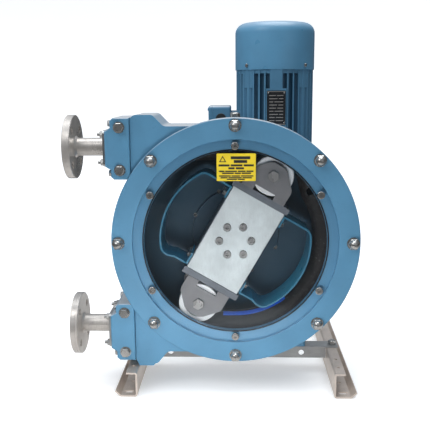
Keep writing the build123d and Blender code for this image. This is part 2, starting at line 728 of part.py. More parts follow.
def bearing(plane, inner, outer, width):
    """Ball bearing as a ring with the groove between its two races."""
    middle = (inner + outer) / 2
    with BuildPart() as ring:
        with BuildSketch(plane):
            Circle(outer)
            Circle(inner, mode=Mode.SUBTRACT)
        extrude(amount=width)
        with BuildSketch(plane.offset(width)):
            Circle(middle + 3)
            Circle(middle - 3, mode=Mode.SUBTRACT)
        extrude(amount=-3, mode=Mode.SUBTRACT)
    return ring


output_bearings = group(
    bearing(front(228), SHAFT_SEAL_R + RUNNING_GAP, FRONT_BEARING_R, 23),
    bearing(front(321), SHAFT_TAIL_R + RUNNING_GAP, 50, 20))
input_bearings = group(
    bearing(level(-82, GEAR_CENTRES, GEAR_DEPTH), WORM_LOW_R + RUNNING_GAP,
            WORM_LOW_BEARING_R, 21),
    bearing(level(74, GEAR_CENTRES, GEAR_DEPTH), WORM_HIGH_R + RUNNING_GAP,
            WORM_HIGH_BEARING_R, 19),
    bearing(level(MOTOR_BASE + 4, GEAR_CENTRES, GEAR_DEPTH), MOTOR_SHAFT_R + RUNNING_GAP,
            31, 16),
    bearing(level(COWL_BOTTOM + 2, GEAR_CENTRES, GEAR_DEPTH), MOTOR_SHAFT_R + RUNNING_GAP,
            26, 14))

flange_back = Plane(origin=(0, FACE_Y + HOUSING_BACK + GEARBOX_FLANGE_T, AXIS_Z),
                    x_dir=(1, 0, 0), z_dir=(0, 1, 0))
cover_back = flange_back.offset(WHEEL_CASE_BACK + 10 - HOUSING_BACK - GEARBOX_FLANGE_T)
under_motor = Plane(origin=(GEAR_CENTRES, FACE_Y + GEAR_DEPTH, AXIS_Z + MOTOR_BASE - 16),
                    x_dir=(1, 0, 0), z_dir=(0, 0, -1))
drive_bolts = group(
    hex_bolts(flange_back, polar(GEARBOX_BOLT_R, 8, 22.5), 17, 8, 5, 24),
    hex_bolts(cover_back, polar(REAR_COVER_SCREW_R - 1, 6, 30), 10, 5, 3, 22),
    hex_bolts(under_motor, polar(65, 4, 45), 13, 6, 4, 30))

# ---- output shaft, worm wheel and worm ----
with BuildPart() as drive_shaft:
    for start, end, radius in ((46, 124, WHEEL_SEAT_R), (124, 232, SHAFT_SEAL_R),
                               (232, 300, WHEEL_SEAT_R), (300, 326, SHAFT_TAIL_R)):
        with BuildSketch(front(end)):
            Circle(radius)
        extrude(amount=end - start)
    chamfer(drive_shaft.edges().group_by(Axis.Y)[0], 2)

PITCH_R = MODULE * WHEEL_TEETH / 2
TOOTH_PITCH = pi * MODULE
TOP = 0.9 * MODULE
ROOT = 1.1 * MODULE
FLANK = 0.364

with BuildPart() as worm_wheel:
    with BuildSketch(front(GEAR_DEPTH + 12)):
        Circle(PITCH_R - ROOT)
        with PolarLocations(0, WHEEL_TEETH, start_angle=180.0 / WHEEL_TEETH):
            Polygon((PITCH_R - ROOT - 1, -TOOTH_T / 2 - FLANK * (ROOT + 1)),
                    (PITCH_R + TOP, -TOOTH_T / 2 + FLANK * TOP),
                    (PITCH_R + TOP, TOOTH_T / 2 - FLANK * TOP),
                    (PITCH_R - ROOT - 1, TOOTH_T / 2 + FLANK * (ROOT + 1)), align=None)
    extrude(amount=24)
    with BuildSketch(front(298)):
        Circle(46)
    extrude(amount=298 - 233)
    with BuildSketch(front(298)):
        Circle(WHEEL_SEAT_R)
    extrude(amount=298 - 233, mode=Mode.SUBTRACT)

WORM_TURNS = 5
WORM_ROOT_R = WORM_PITCH_R - ROOT
worm_foot = level(0, GEAR_CENTRES, GEAR_DEPTH)

with BuildPart() as worm_thread:
    with BuildLine(worm_foot.offset(-WORM_TURNS * TOOTH_PITCH / 2)) as worm_path:
        Helix(TOOTH_PITCH, WORM_TURNS * TOOTH_PITCH, WORM_PITCH_R)
    with BuildSketch(Plane(origin=worm_path.line @ 0, x_dir=(1, 0, 0), z_dir=(0, 1, 0))):
        Polygon((-ROOT - 1, -TOOTH_T / 2 - FLANK * (ROOT + 1)), (TOP, -TOOTH_T / 2 + FLANK * TOP),
                (TOP, TOOTH_T / 2 - FLANK * TOP), (-ROOT - 1, TOOTH_T / 2 + FLANK * (ROOT + 1)),
                align=None)
    sweep(path=worm_path.line, is_frenet=True)

with BuildPart() as worm_shaft:
    for low, high, radius in ((-80, -58, WORM_LOW_R), (-58, 56, WORM_ROOT_R),
                              (56, 112, WORM_HIGH_R)):
        with BuildSketch(level(low, GEAR_CENTRES, GEAR_DEPTH)):
            Circle(radius)
        extrude(amount=high - low)
    add(worm_thread.part)
    with BuildSketch(level(60, GEAR_CENTRES, GEAR_DEPTH)):
        Circle(MOTOR_SHAFT_R)
    extrude(amount=60, mode=Mode.SUBTRACT)

# ---- motor ----
BOX_X = -12.0
BOX_LOW = 202.0
BOX_HEIGHT = 106.0
SHIELD_T = 24.0
CORE_LOW = 226.0
CORE_HIGH = 366.0
FRAME_INNER_R = 80.0
CORE_R = 84.0

with BuildPart() as motor_end_shield:
    with BuildSketch(level(MOTOR_BASE, GEAR_CENTRES, GEAR_DEPTH)):
        Circle(MOTOR_FLANGE_R)
    extrude(amount=8)
    with BuildSketch(level(MOTOR_BASE + 8, GEAR_CENTRES, GEAR_DEPTH)):
        Circle(MOTOR_R - 3)
    extrude(amount=SHIELD_T - 8)
    with BuildSketch(level(MOTOR_BASE, GEAR_CENTRES, GEAR_DEPTH)):
        Circle(MOTOR_SHAFT_R + 2)
        with Locations(*polar(65, 4, 45)):
            Circle(4)
    extrude(amount=SHIELD_T, mode=Mode.SUBTRACT)
    with BuildSketch(level(MOTOR_BASE + 4, GEAR_CENTRES, GEAR_DEPTH)):
        Circle(31)
    extrude(amount=SHIELD_T, mode=Mode.SUBTRACT)

FIN_PITCH = 14.0
FIN_T = 3.5
FIN_ROWS = 5
PAD_R = 88.0
frame_low = MOTOR_BASE + SHIELD_T
frame_plane = level(frame_low, GEAR_CENTRES, GEAR_DEPTH)
frame_height = COWL_BOTTOM - frame_low

with BuildPart() as stator_frame:
    with BuildSketch(frame_plane):
        for quarter in range(4):
            with Locations(Location((0, 0, 0), (0, 0, 90 * quarter))):
                with GridLocations(FIN_PITCH, 1, 2 * FIN_ROWS + 1, 1):
                    Rectangle(FIN_T, MOTOR_R + 5, align=(Align.CENTER, Align.MAX))
        Circle(MOTOR_R, mode=Mode.INTERSECT)
        Circle(CORE_R + 2)
    extrude(amount=frame_height)
    # four corner pads for the cowl screws, and rings at both ends
    with BuildSketch(frame_plane.offset(frame_height)):
        Circle(MOTOR_R - 2)
    extrude(amount=-9)
    with BuildSketch(frame_plane.offset(frame_height)):
        with PolarLocations(PAD_R, 4, start_angle=45):
            Rectangle(30, 28)
        Circle(MOTOR_R - 1, mode=Mode.INTERSECT)
    extrude(amount=-44)
    with BuildSketch(frame_plane):
        Circle(MOTOR_R - 3)
    extrude(amount=9)
    # flat pads: a lug and the name plate in front, and the terminal box on the left
    with BuildSketch(level(COWL_BOTTOM, GEAR_CENTRES, GEAR_DEPTH - MOTOR_R + 7)):
        Rectangle(26, 16)
    extrude(amount=-50)
    with BuildSketch(level(256, GEAR_CENTRES, GEAR_DEPTH - MOTOR_R + 7)):
        Rectangle(50, 16)
    extrude(amount=94)
    with BuildSketch(level(BOX_LOW + 14, GEAR_CENTRES - MOTOR_R, GEAR_DEPTH)):
        Rectangle(2 * (GEAR_CENTRES - MOTOR_R - BOX_X), 84)
    extrude(amount=BOX_HEIGHT - 28)
    with BuildSketch(frame_plane):
        Circle(FRAME_INNER_R)
    extrude(amount=frame_height, mode=Mode.SUBTRACT)

with BuildPart() as stator_core:
    with BuildSketch(level(CORE_LOW, GEAR_CENTRES, GEAR_DEPTH)):
        Circle(FRAME_INNER_R)
        Circle(52, mode=Mode.SUBTRACT)
        with PolarLocations(59, 36):
            Rectangle(12, 3, mode=Mode.SUBTRACT)
    extrude(amount=CORE_HIGH - CORE_LOW)

with BuildPart() as motor_rear_shield:
    with BuildSketch(level(COWL_BOTTOM, GEAR_CENTRES, GEAR_DEPTH)):
        Circle(COWL_R - 3)
    extrude(amount=20)
    with BuildSketch(level(COWL_BOTTOM, GEAR_CENTRES, GEAR_DEPTH)):
        Circle(MOTOR_SHAFT_R + 2)
    extrude(amount=20, mode=Mode.SUBTRACT)
    with BuildSketch(level(COWL_BOTTOM, GEAR_CENTRES, GEAR_DEPTH)):
        Circle(26)
    extrude(amount=16, mode=Mode.SUBTRACT)
    # hollow under the rim, round the bearing boss
    with BuildSketch(level(COWL_BOTTOM + 6, GEAR_CENTRES, GEAR_DEPTH)):
        Circle(COWL_R - 18)
        Circle(36, mode=Mode.SUBTRACT)
    extrude(amount=14, mode=Mode.SUBTRACT)
    with BuildSketch(Plane(origin=(GEAR_CENTRES, FACE_Y + GEAR_DEPTH, AXIS_Z + COWL_BOTTOM + 10),
                           x_dir=(1, 0, 0), z_dir=(0, 0, 1))):
        with PolarLocations(COWL_R - 8, 4, start_angle=45):
            Rectangle(14, 5)
    extrude(amount=2.5, both=True, mode=Mode.SUBTRACT)

COWL_SCREW_R = 2.4
cowl_seats = []
for out_x, out_y in polar(1, 4, 45):
    cowl_seats.append(Plane(origin=(GEAR_CENTRES + COWL_R * out_x,
                                    FACE_Y + GEAR_DEPTH + COWL_R * out_y,
                                    AXIS_Z + COWL_BOTTOM + 10),
                            x_dir=(0, 0, 1), z_dir=(out_x, out_y, 0)))

with BuildPart() as fan_cowl:
    with BuildSketch(level(COWL_BOTTOM + 0.3, GEAR_CENTRES, GEAR_DEPTH)):
        Circle(COWL_R)
    extrude(amount=COWL_TOP - COWL_BOTTOM - 0.3)
    fillet(fan_cowl.edges().group_by(Axis.Z)[-1], 26)
    offset(amount=-2.5, openings=fan_cowl.faces().sort_by(Axis.Z)[0])
    # the grille: rings of round air holes
    with BuildSketch(level(COWL_TOP - 20, GEAR_CENTRES, GEAR_DEPTH)):
        for ring in range(1, 6):
            with PolarLocations(12.5 * ring, 6 * ring):
                Circle(4.2)
    extrude(amount=40, mode=Mode.SUBTRACT)
    for seat in cowl_seats:
        with BuildSketch(seat):
            Circle(COWL_SCREW_R)
        extrude(amount=-5, mode=Mode.SUBTRACT)

cowl_screws = group(*[hex_bolts(seat, [(0, 0)], 8, 3.5, COWL_SCREW_R, 10)
                      for seat in cowl_seats])

with BuildPart() as cooling_fan:
    with BuildSketch(level(424, GEAR_CENTRES, GEAR_DEPTH)):
        Circle(22)
    extrude(amount=44)
    with BuildSketch(level(424, GEAR_CENTRES, GEAR_DEPTH)):
        Circle(82)
    extrude(amount=4)
    with BuildSketch(level(426, GEAR_CENTRES, GEAR_DEPTH)):
        with PolarLocations(51, 8):
            Rectangle(62, 3.5)
    extrude(amount=40)
    with BuildSketch(level(424, GEAR_CENTRES, GEAR_DEPTH)):
        Circle(MOTOR_SHAFT_R)
    extrude(amount=44, mode=Mode.SUBTRACT)

with BuildPart() as motor_shaft:
    with BuildSketch(level(62, GEAR_CENTRES, GEAR_DEPTH)):
        Circle(MOTOR_SHAFT_R)
    extrude(amount=470 - 62)
    chamfer(motor_shaft.edges(), 1)

with BuildPart() as motor_rotor_core:
    with BuildSketch(level(CORE_LOW, GEAR_CENTRES, GEAR_DEPTH)):
        Circle(51)
    extrude(amount=CORE_HIGH - CORE_LOW)
    with BuildSketch(level(CORE_LOW - 12, GEAR_CENTRES, GEAR_DEPTH)):
        Circle(47)
        Circle(34, mode=Mode.SUBTRACT)
    extrude(amount=CORE_HIGH - CORE_LOW + 24)
    with BuildSketch(level(CORE_LOW - 12, GEAR_CENTRES, GEAR_DEPTH)):
        Circle(MOTOR_SHAFT_R)
    extrude(amount=CORE_HIGH - CORE_LOW + 24, mode=Mode.SUBTRACT)

# ---- terminal box ----
BOX_LID_X = -58.0
BOX_DEPTH = 100.0
LID_T = 11.0
PLUG_HEIGHT = 74.0


def box_side(x):
    """Plane facing -X through the terminal box's lower edge, centred on the motor's depth."""
    return Plane(origin=(x, FACE_Y + GEAR_DEPTH, AXIS_Z + BOX_LOW), x_dir=(0, -1, 0),
                 z_dir=(-1, 0, 0))


with BuildPart() as terminal_box:
    with BuildSketch(box_side(BOX_X)):
        with Locations((0, BOX_HEIGHT / 2)):
            RectangleRounded(BOX_DEPTH, BOX_HEIGHT, 8)
    extrude(amount=BOX_X - BOX_LID_X)
    fillet(terminal_box.edges().group_by(Axis.X)[-1], 5)
    with BuildSketch(box_side(BOX_LID_X)):
        with Locations((0, BOX_HEIGHT / 2)):
            RectangleRounded(BOX_DEPTH - 10, BOX_HEIGHT - 10, 5)
    extrude(amount=BOX_LID_X - BOX_X + 5, mode=Mode.SUBTRACT)
    with BuildSketch(front(GEAR_DEPTH - BOX_DEPTH / 2 + 6)):
        with Locations((-37, BOX_LOW + PLUG_HEIGHT)):
            Circle(8)
    extrude(amount=10, mode=Mode.SUBTRACT)

with BuildPart() as terminal_box_lid:
    with BuildSketch(box_side(BOX_LID_X - 0.4)):
        with Locations((0, BOX_HEIGHT / 2)):
            RectangleRounded(BOX_DEPTH, BOX_HEIGHT, 8)
    extrude(amount=LID_T - 0.4)
    fillet(terminal_box_lid.edges().group_by(Axis.X)[0], 4)
    with BuildSketch(box_side(BOX_LID_X - LID_T)):
        with Locations((0, BOX_HEIGHT / 2)):
            with GridLocations(BOX_DEPTH - 18, BOX_HEIGHT - 18, 2, 2):
                Circle(4)
    extrude(amount=2)

with BuildPart() as terminal_box_plug:
    with BuildSketch(front(GEAR_DEPTH - BOX_DEPTH / 2)):
        with Locations((-37, BOX_LOW + PLUG_HEIGHT)):
            Circle(13)
    extrude(amount=5)
    fillet(terminal_box_plug.edges().group_by(Axis.Y)[0], 1.5)
    with BuildSketch(front(GEAR_DEPTH - BOX_DEPTH / 2)):
        with Locations((-37, BOX_LOW + PLUG_HEIGHT)):
            Circle(8)
    extrude(amount=-5)

with BuildPart() as motor_nameplate:
    with BuildSketch(front(GEAR_DEPTH - MOTOR_R - 1)):
        with Locations((GEAR_CENTRES, 303)):
            RectangleRounded(46, 84, 2)
    extrude(amount=1)

# ---- rotor ----
ROTOR_SCREW_R = 37.4
WING_T = 4.0
WING_BOLTS = [(s * 86, t * 28) for s in (1, -1) for t in (1, -1)]


def flank(side):
    """Plane on the outside of a wing's foot, facing away from the rotor."""
    turn = radians(ROTOR_TILT)
    across = (side * cos(turn), 0, -side * sin(turn))
    reach = ROTOR_HALF_W + WING_T
    return Plane(origin=(reach * across[0], FACE_Y + HOSE_DEPTH, AXIS_Z + reach * across[2]),
                 x_dir=(sin(turn), 0, cos(turn)), z_dir=across)


with BuildPart() as rotor_body:
    with BuildSketch(front(ROTOR_BACK, ROTOR_TILT)):
        RectangleRounded(2 * ROTOR_HALF_W, 2 * ROTOR_HALF_L, 3)
    extrude(amount=ROTOR_BACK - ROTOR_FRONT - FRONT_PLATE_T)
    with BuildSketch(front(ROTOR_BACK, ROTOR_TILT)):
        with Locations((0, 82), (0, -82)):
            RectangleRounded(100, 36, 6)
    extrude(amount=ROTOR_BACK - 60, mode=Mode.SUBTRACT)
    with BuildSketch(front(ROTOR_BACK, ROTOR_TILT)):
        Circle(WHEEL_SEAT_R)
    extrude(amount=ROTOR_BACK - 46, mode=Mode.SUBTRACT)
    with BuildSketch(front(ROTOR_FRONT + FRONT_PLATE_T, ROTOR_TILT)):
        with Locations(*polar(ROTOR_SCREW_R, 6, 30)):
            Circle(5)
    extrude(amount=-20, mode=Mode.SUBTRACT)
    for side in (1, -1):
        with BuildSketch(flank(side)):
            with Locations(*WING_BOLTS):
                Circle(4)
        extrude(amount=-12, mode=Mode.SUBTRACT)

with BuildPart() as rotor_front_plate:
    with BuildSketch(front(ROTOR_FRONT + FRONT_PLATE_T, ROTOR_TILT)):
        RectangleRounded(2 * ROTOR_HALF_W - 4, 2 * ROTOR_HALF_L, 2)
    extrude(amount=FRONT_PLATE_T)
    chamfer(rotor_front_plate.faces().sort_by(Axis.Y)[0].edges(), 0.8)
    with BuildSketch(front(ROTOR_FRONT, ROTOR_TILT)):
        with Locations(*polar(ROTOR_SCREW_R, 6, 30)):
            Circle(10)
    extrude(amount=-5, mode=Mode.SUBTRACT)
    with BuildSketch(front(ROTOR_FRONT, ROTOR_TILT)):
        with Locations(*polar(ROTOR_SCREW_R, 6, 30)):
            Circle(5)
    extrude(amount=-FRONT_PLATE_T, mode=Mode.SUBTRACT)

with BuildPart() as rotor_screws:
    with BuildSketch(front(ROTOR_FRONT + 5, ROTOR_TILT)):
        with Locations(*polar(ROTOR_SCREW_R, 6, 30)):
            Circle(8.6)
    extrude(amount=7)
    chamfer(rotor_screws.edges().group_by(Axis.Y)[0], 0.8)
    with BuildSketch(front(ROTOR_FRONT - 2, ROTOR_TILT)):
        with Locations(*polar(ROTOR_SCREW_R, 6, 30)):
            RegularPolygon(radius=4, side_count=6, major_radius=False)
    extrude(amount=-5, mode=Mode.SUBTRACT)
    with BuildSketch(front(ROTOR_FRONT + 5, ROTOR_TILT)):
        with Locations(*polar(ROTOR_SCREW_R, 6, 30)):
            Circle(5)
    extrude(amount=-22)

PLATE_FRONT = 26.0
with BuildPart() as pressure_plates:
    for end in (1, -1):
        with BuildSketch(front(ROTOR_BACK, ROTOR_TILT)):
            with Locations((0, end * (ROTOR_HALF_L + PRESSURE_PLATE_T / 2))):
                Rectangle(146, PRESSURE_PLATE_T)
        extrude(amount=ROTOR_BACK - PLATE_FRONT)
    chamfer(pressure_plates.edges().filter_by(Axis.Y), 1.2)

BRACKET_BASE = ROTOR_HALF_L + PRESSURE_PLATE_T
FRONT_BRACKET = 30.0
REAR_BRACKET = 126.0
FOOT_LENGTH = 24.0
FOOT_SHEET = 6.0
FOOT_INSIDE = 26.0
FOOT_WIDTH = 29.0


def roller_bracket(end):
    """Front and rear cheek of one roller, each with two feet bent against the pressure plate."""
    half = [(55.5, BRACKET_BASE), (55.5, 160), (53, 168), (26, 198), (15, 204.5)]
    points = half + [(-w, l) for w, l in reversed(half)]
    outline = [(end * w, end * l) for w, l in points]
    foot_w = FOOT_INSIDE + FOOT_WIDTH / 2
    with BuildPart() as cheeks:
        for depth in (FRONT_BRACKET, REAR_BRACKET):
            with BuildSketch(front(depth, ROTOR_TILT)):
                Polygon(*outline, align=None)
                with Locations((0, end * ROLLER_ORBIT_R)):
                    Circle(PIN_R, mode=Mode.SUBTRACT)
                with Locations((0, end * BRACKET_BASE)):
                    Rectangle(2 * FOOT_INSIDE, 28, mode=Mode.SUBTRACT)
            extrude(amount=BRACKET_T)
        for depth in (FRONT_BRACKET - BRACKET_T + FOOT_LENGTH, REAR_BRACKET):
            with BuildSketch(front(depth, ROTOR_TILT)):
                with Locations((foot_w, end * (BRACKET_BASE + FOOT_SHEET / 2)),
                               (-foot_w, end * (BRACKET_BASE + FOOT_SHEET / 2))):
                    Rectangle(FOOT_WIDTH, FOOT_SHEET)
            extrude(amount=FOOT_LENGTH)
    return cheeks


roller_bracket_1 = roller_bracket(1)
roller_bracket_2 = roller_bracket(-1)

with BuildPart() as pin_bars:
    with BuildSketch(front(REAR_BRACKET + 4, ROTOR_TILT)):
        with Locations((0, ROLLER_ORBIT_R), (0, -ROLLER_ORBIT_R)):
            Circle(PIN_R)
    extrude(amount=REAR_BRACKET + 4 - FRONT_BRACKET + BRACKET_T)
pin_heads = hex_bolts(front(FRONT_BRACKET - BRACKET_T, ROTOR_TILT),
                      [(0, ROLLER_ORBIT_R), (0, -ROLLER_ORBIT_R)], 24, 7, 6, 3)
with BuildPart() as roller_pins:
    add(pin_bars.part)
    add(pin_heads.part)


def roller(end):
    """Nylon roller with a recessed face at each end and a hub that runs on the pin."""
    front_face = HOSE_DEPTH - ROLLER_WIDTH / 2
    back_face = HOSE_DEPTH + ROLLER_WIDTH / 2
    centre = [(0, end * ROLLER_ORBIT_R)]
    with BuildPart() as wheel:
        with BuildSketch(front(back_face, ROTOR_TILT)):
            with Locations(*centre):
                Circle(ROLLER_R)
        extrude(amount=ROLLER_WIDTH)
        fillet(wheel.edges().filter_by(GeomType.CIRCLE), 3)
        for plane, way in ((front(front_face, ROTOR_TILT), -1), (front(back_face, ROTOR_TILT), 1)):
            with BuildSketch(plane):
                with Locations(*centre):
                    Circle(ROLLER_R - ROLLER_RIM)
                    Circle(PIN_R + 8, mode=Mode.SUBTRACT)
            extrude(amount=way * ROLLER_RECESS, mode=Mode.SUBTRACT)
        with BuildSketch(front(back_face, ROTOR_TILT)):
            with Locations(*centre):
                Circle(PIN_R + RUNNING_GAP)
        extrude(amount=ROLLER_WIDTH, mode=Mode.SUBTRACT)
    return wheel


roller_1 = roller(1)
roller_2 = roller(-1)

WING_R = 178.5
WING_L = 107.0
WING_STEP_L = 112.0
WING_STEP_W = (106.0, 120.0)
WING_FRONT = 30.0
WING_FOOT_L = 30.0
WING_BEND = 10.0


def bend(start, corner, end):
    """Arc between two points that rounds the corner where their lines would meet."""
    middle = tuple(0.3 * a + 0.4 * b + 0.3 * c for a, b, c in zip(start, corner, end))
    return ThreePointArc(start, middle, end)


def wing(side):
    """Bent sheet guard: an arc with two arms, one stepped, whose feet bolt to the rotor's flank."""
    foot_w = side * ROTOR_HALF_W
    straight_end = side * sqrt(WING_R ** 2 - WING_L ** 2)
    stepped_end = side * sqrt(WING_R ** 2 - WING_STEP_L ** 2)
    arc_start = (side * sqrt(WING_R ** 2 - (WING_L - WING_BEND) ** 2), WING_L - WING_BEND)
    arc_end = (side * sqrt(WING_R ** 2 - (WING_STEP_L - WING_BEND) ** 2), WING_BEND - WING_STEP_L)
    bend_in = (straight_end - side * WING_BEND, WING_L)
    bend_out = (stepped_end - side * WING_BEND, -WING_STEP_L)
    step_start = (side * WING_STEP_W[0], -WING_L)
    step_end = (side * WING_STEP_W[1], -WING_STEP_L)
    with BuildPart() as guard:
        with BuildSketch(front(ROTOR_BACK, ROTOR_TILT)):
            with BuildLine():
                sheet = [
                    Line((foot_w, WING_L - WING_FOOT_L), (foot_w, WING_L)),
                    Line((foot_w, WING_L), bend_in),
                    bend(bend_in, (straight_end, WING_L), arc_start),
                    ThreePointArc(arc_start, (side * WING_R, 0), arc_end),
                    bend(arc_end, (stepped_end, -WING_STEP_L), bend_out),
                    Line(bend_out, step_end),
                    Line(step_end, step_start),
                    Line(step_start, (foot_w, -WING_L)),
                    Line((foot_w, -WING_L), (foot_w, WING_FOOT_L - WING_L)),
                ]
                offset(Wire(sheet), WING_T, side=Side.LEFT if side < 0 else Side.RIGHT)
            make_face()
        extrude(amount=ROTOR_BACK - WING_FRONT)
        with BuildSketch(flank(side)):
            with Locations(*WING_BOLTS):
                Circle(4)
        extrude(amount=-WING_T, mode=Mode.SUBTRACT)
    return guard


wing_left = wing(-1)
wing_right = wing(1)

wing_bolts = group(*[hex_bolts(flank(side), WING_BOLTS, 13, 6, 4, 12, washer_r=8, washer_t=1.6)
                     for side in (1, -1)])

# ---- write every piece to its own file ----
pieces = {
    "pump_housing": pump_housing,
    "front_cover_ring": front_cover_ring,
    "cover_gasket": cover_gasket,
    "inspection_window": inspection_window,
    "window_gasket": window_gasket,
    "window_screws": window_screws,
    "cover_studs": cover_studs,
    "cover_nuts": cover_nuts,
    "caution_label": caution_label,
    "pump_hose": pump_hose,
    "upper_port_insert": upper_port_insert,
    "lower_port_insert": lower_port_insert,
    "upper_port_flange": upper_port_flange,
    "lower_port_flange": lower_port_flange,
    "upper_port_clamp": upper_port_clamp,
    "lower_port_clamp": lower_port_clamp,
    "port_clamp_bolts": port_clamp_bolts,
    "upper_retaining_plate": upper_retaining_plate,
    "lower_retaining_plate": lower_retaining_plate,
    "breather_plug": breather_plug,
    "drain_plug": drain_plug,
    "shaft_seal": shaft_seal,
    "left_leg": left_leg,
    "right_leg": right_leg,
    "front_cross_beam": front_cross_beam,
    "rear_cross_beam": rear_cross_beam,
    "frame_bolts": frame_bolts,
    "gearbox_housing": gearbox_housing,
    "gearbox_rear_cover": gearbox_rear_cover,
    "drive_bolts": drive_bolts,
    "output_bearings": output_bearings,
    "input_bearings": input_bearings,
    "motor_end_shield": motor_end_shield,
    "stator_frame": stator_frame,
    "stator_core": stator_core,
    "motor_rear_shield": motor_rear_shield,
    "fan_cowl": fan_cowl,
    "cowl_screws": cowl_screws,
    "terminal_box": terminal_box,
    "terminal_box_lid": terminal_box_lid,
    "terminal_box_plug": terminal_box_plug,
    "motor_nameplate": motor_nameplate,
    "drive_shaft": drive_shaft,
    "worm_wheel": worm_wheel,
    "rotor_body": rotor_body,
    "rotor_front_plate": rotor_front_plate,
    "rotor_screws": rotor_screws,
    "pressure_plates": pressure_plates,
    "roller_bracket_1": roller_bracket_1,
    "roller_bracket_2": roller_bracket_2,
    "roller_pins": roller_pins,
    "roller_1": roller_1,
    "roller_2": roller_2,
    "wing_left": wing_left,
    "wing_right": wing_right,
    "wing_bolts": wing_bolts,
    "worm_shaft": worm_shaft,
    "motor_shaft": motor_shaft,
    "motor_rotor_core": motor_rotor_core,
    "cooling_fan": cooling_fan,
}

os.makedirs("parts", exist_ok=True)
for name, piece in pieces.items():
    piece.part.label = name
    export_step(piece.part, f"parts/{name}.step")
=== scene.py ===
"""Looks of the hose pump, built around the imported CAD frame.

Lengths are in metres in the row frame: +Z up, the window faces -Y, the ports point to -X.
"""
import json
import math

import bpy
from mathutils import Matrix, Vector


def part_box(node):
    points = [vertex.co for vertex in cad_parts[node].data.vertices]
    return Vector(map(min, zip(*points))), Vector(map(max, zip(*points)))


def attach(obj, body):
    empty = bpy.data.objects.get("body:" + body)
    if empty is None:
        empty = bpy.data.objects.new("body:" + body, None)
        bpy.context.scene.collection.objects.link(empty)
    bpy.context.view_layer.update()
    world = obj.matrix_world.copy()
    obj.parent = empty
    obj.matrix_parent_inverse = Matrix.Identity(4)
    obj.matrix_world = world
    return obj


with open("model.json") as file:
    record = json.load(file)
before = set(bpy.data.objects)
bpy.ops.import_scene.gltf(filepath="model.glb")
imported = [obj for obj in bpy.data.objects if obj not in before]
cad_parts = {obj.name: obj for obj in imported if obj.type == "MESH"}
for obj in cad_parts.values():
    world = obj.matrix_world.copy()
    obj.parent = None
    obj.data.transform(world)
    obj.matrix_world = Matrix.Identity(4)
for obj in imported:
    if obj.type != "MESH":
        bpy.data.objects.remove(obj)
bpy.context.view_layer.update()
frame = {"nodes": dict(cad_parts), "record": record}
nodes = frame["nodes"]
ROOT = "frame_and_housing"

# ---- places on the pump that the finishes go by ----
window_low, window_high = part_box("inspection_window")
cover_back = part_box("front_cover_ring")[1][1]
rotor_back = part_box("rotor_body")[1][1]
core_low, core_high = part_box("stator_core")
fins_low, fins_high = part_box("stator_frame")
FLANGE_PAST_WINDOW = 0.013
WALL_PAST_ROTOR = 0.024
SLEEVE_PAST_CORE = 0.002
PUMP_AXIS = ((window_low[0] + window_high[0]) / 2, 0.0, (window_low[2] + window_high[2]) / 2)
WINDOW_RADIUS = (window_high[0] - window_low[0]) / 2
DRUM_RADIUS = WINDOW_RADIUS + FLANGE_PAST_WINDOW
DRUM_FRONT = cover_back
DRUM_BACK = rotor_back + WALL_PAST_ROTOR
MOTOR_AXIS = ((core_low[0] + core_high[0]) / 2, (core_low[1] + core_high[1]) / 2, 0.0)
FIN_ROOT = (core_high[0] - core_low[0]) / 2 + SLEEVE_PAST_CORE
FIN_SHADE = 0.0945  # distance from the motor's axis at which the painted shade in the gaps between the fins starts
MASK_EDGE = 0.001  # width over which a mask goes from 0 to 1

# ---- node materials ----
FLAT, ROUNDED = 0.98, 0.80  # cosine between a face and its bevelled normal, off and on an edge
COAT_ROUGHNESS = 0.25
finishes = {}  # every material under its own name


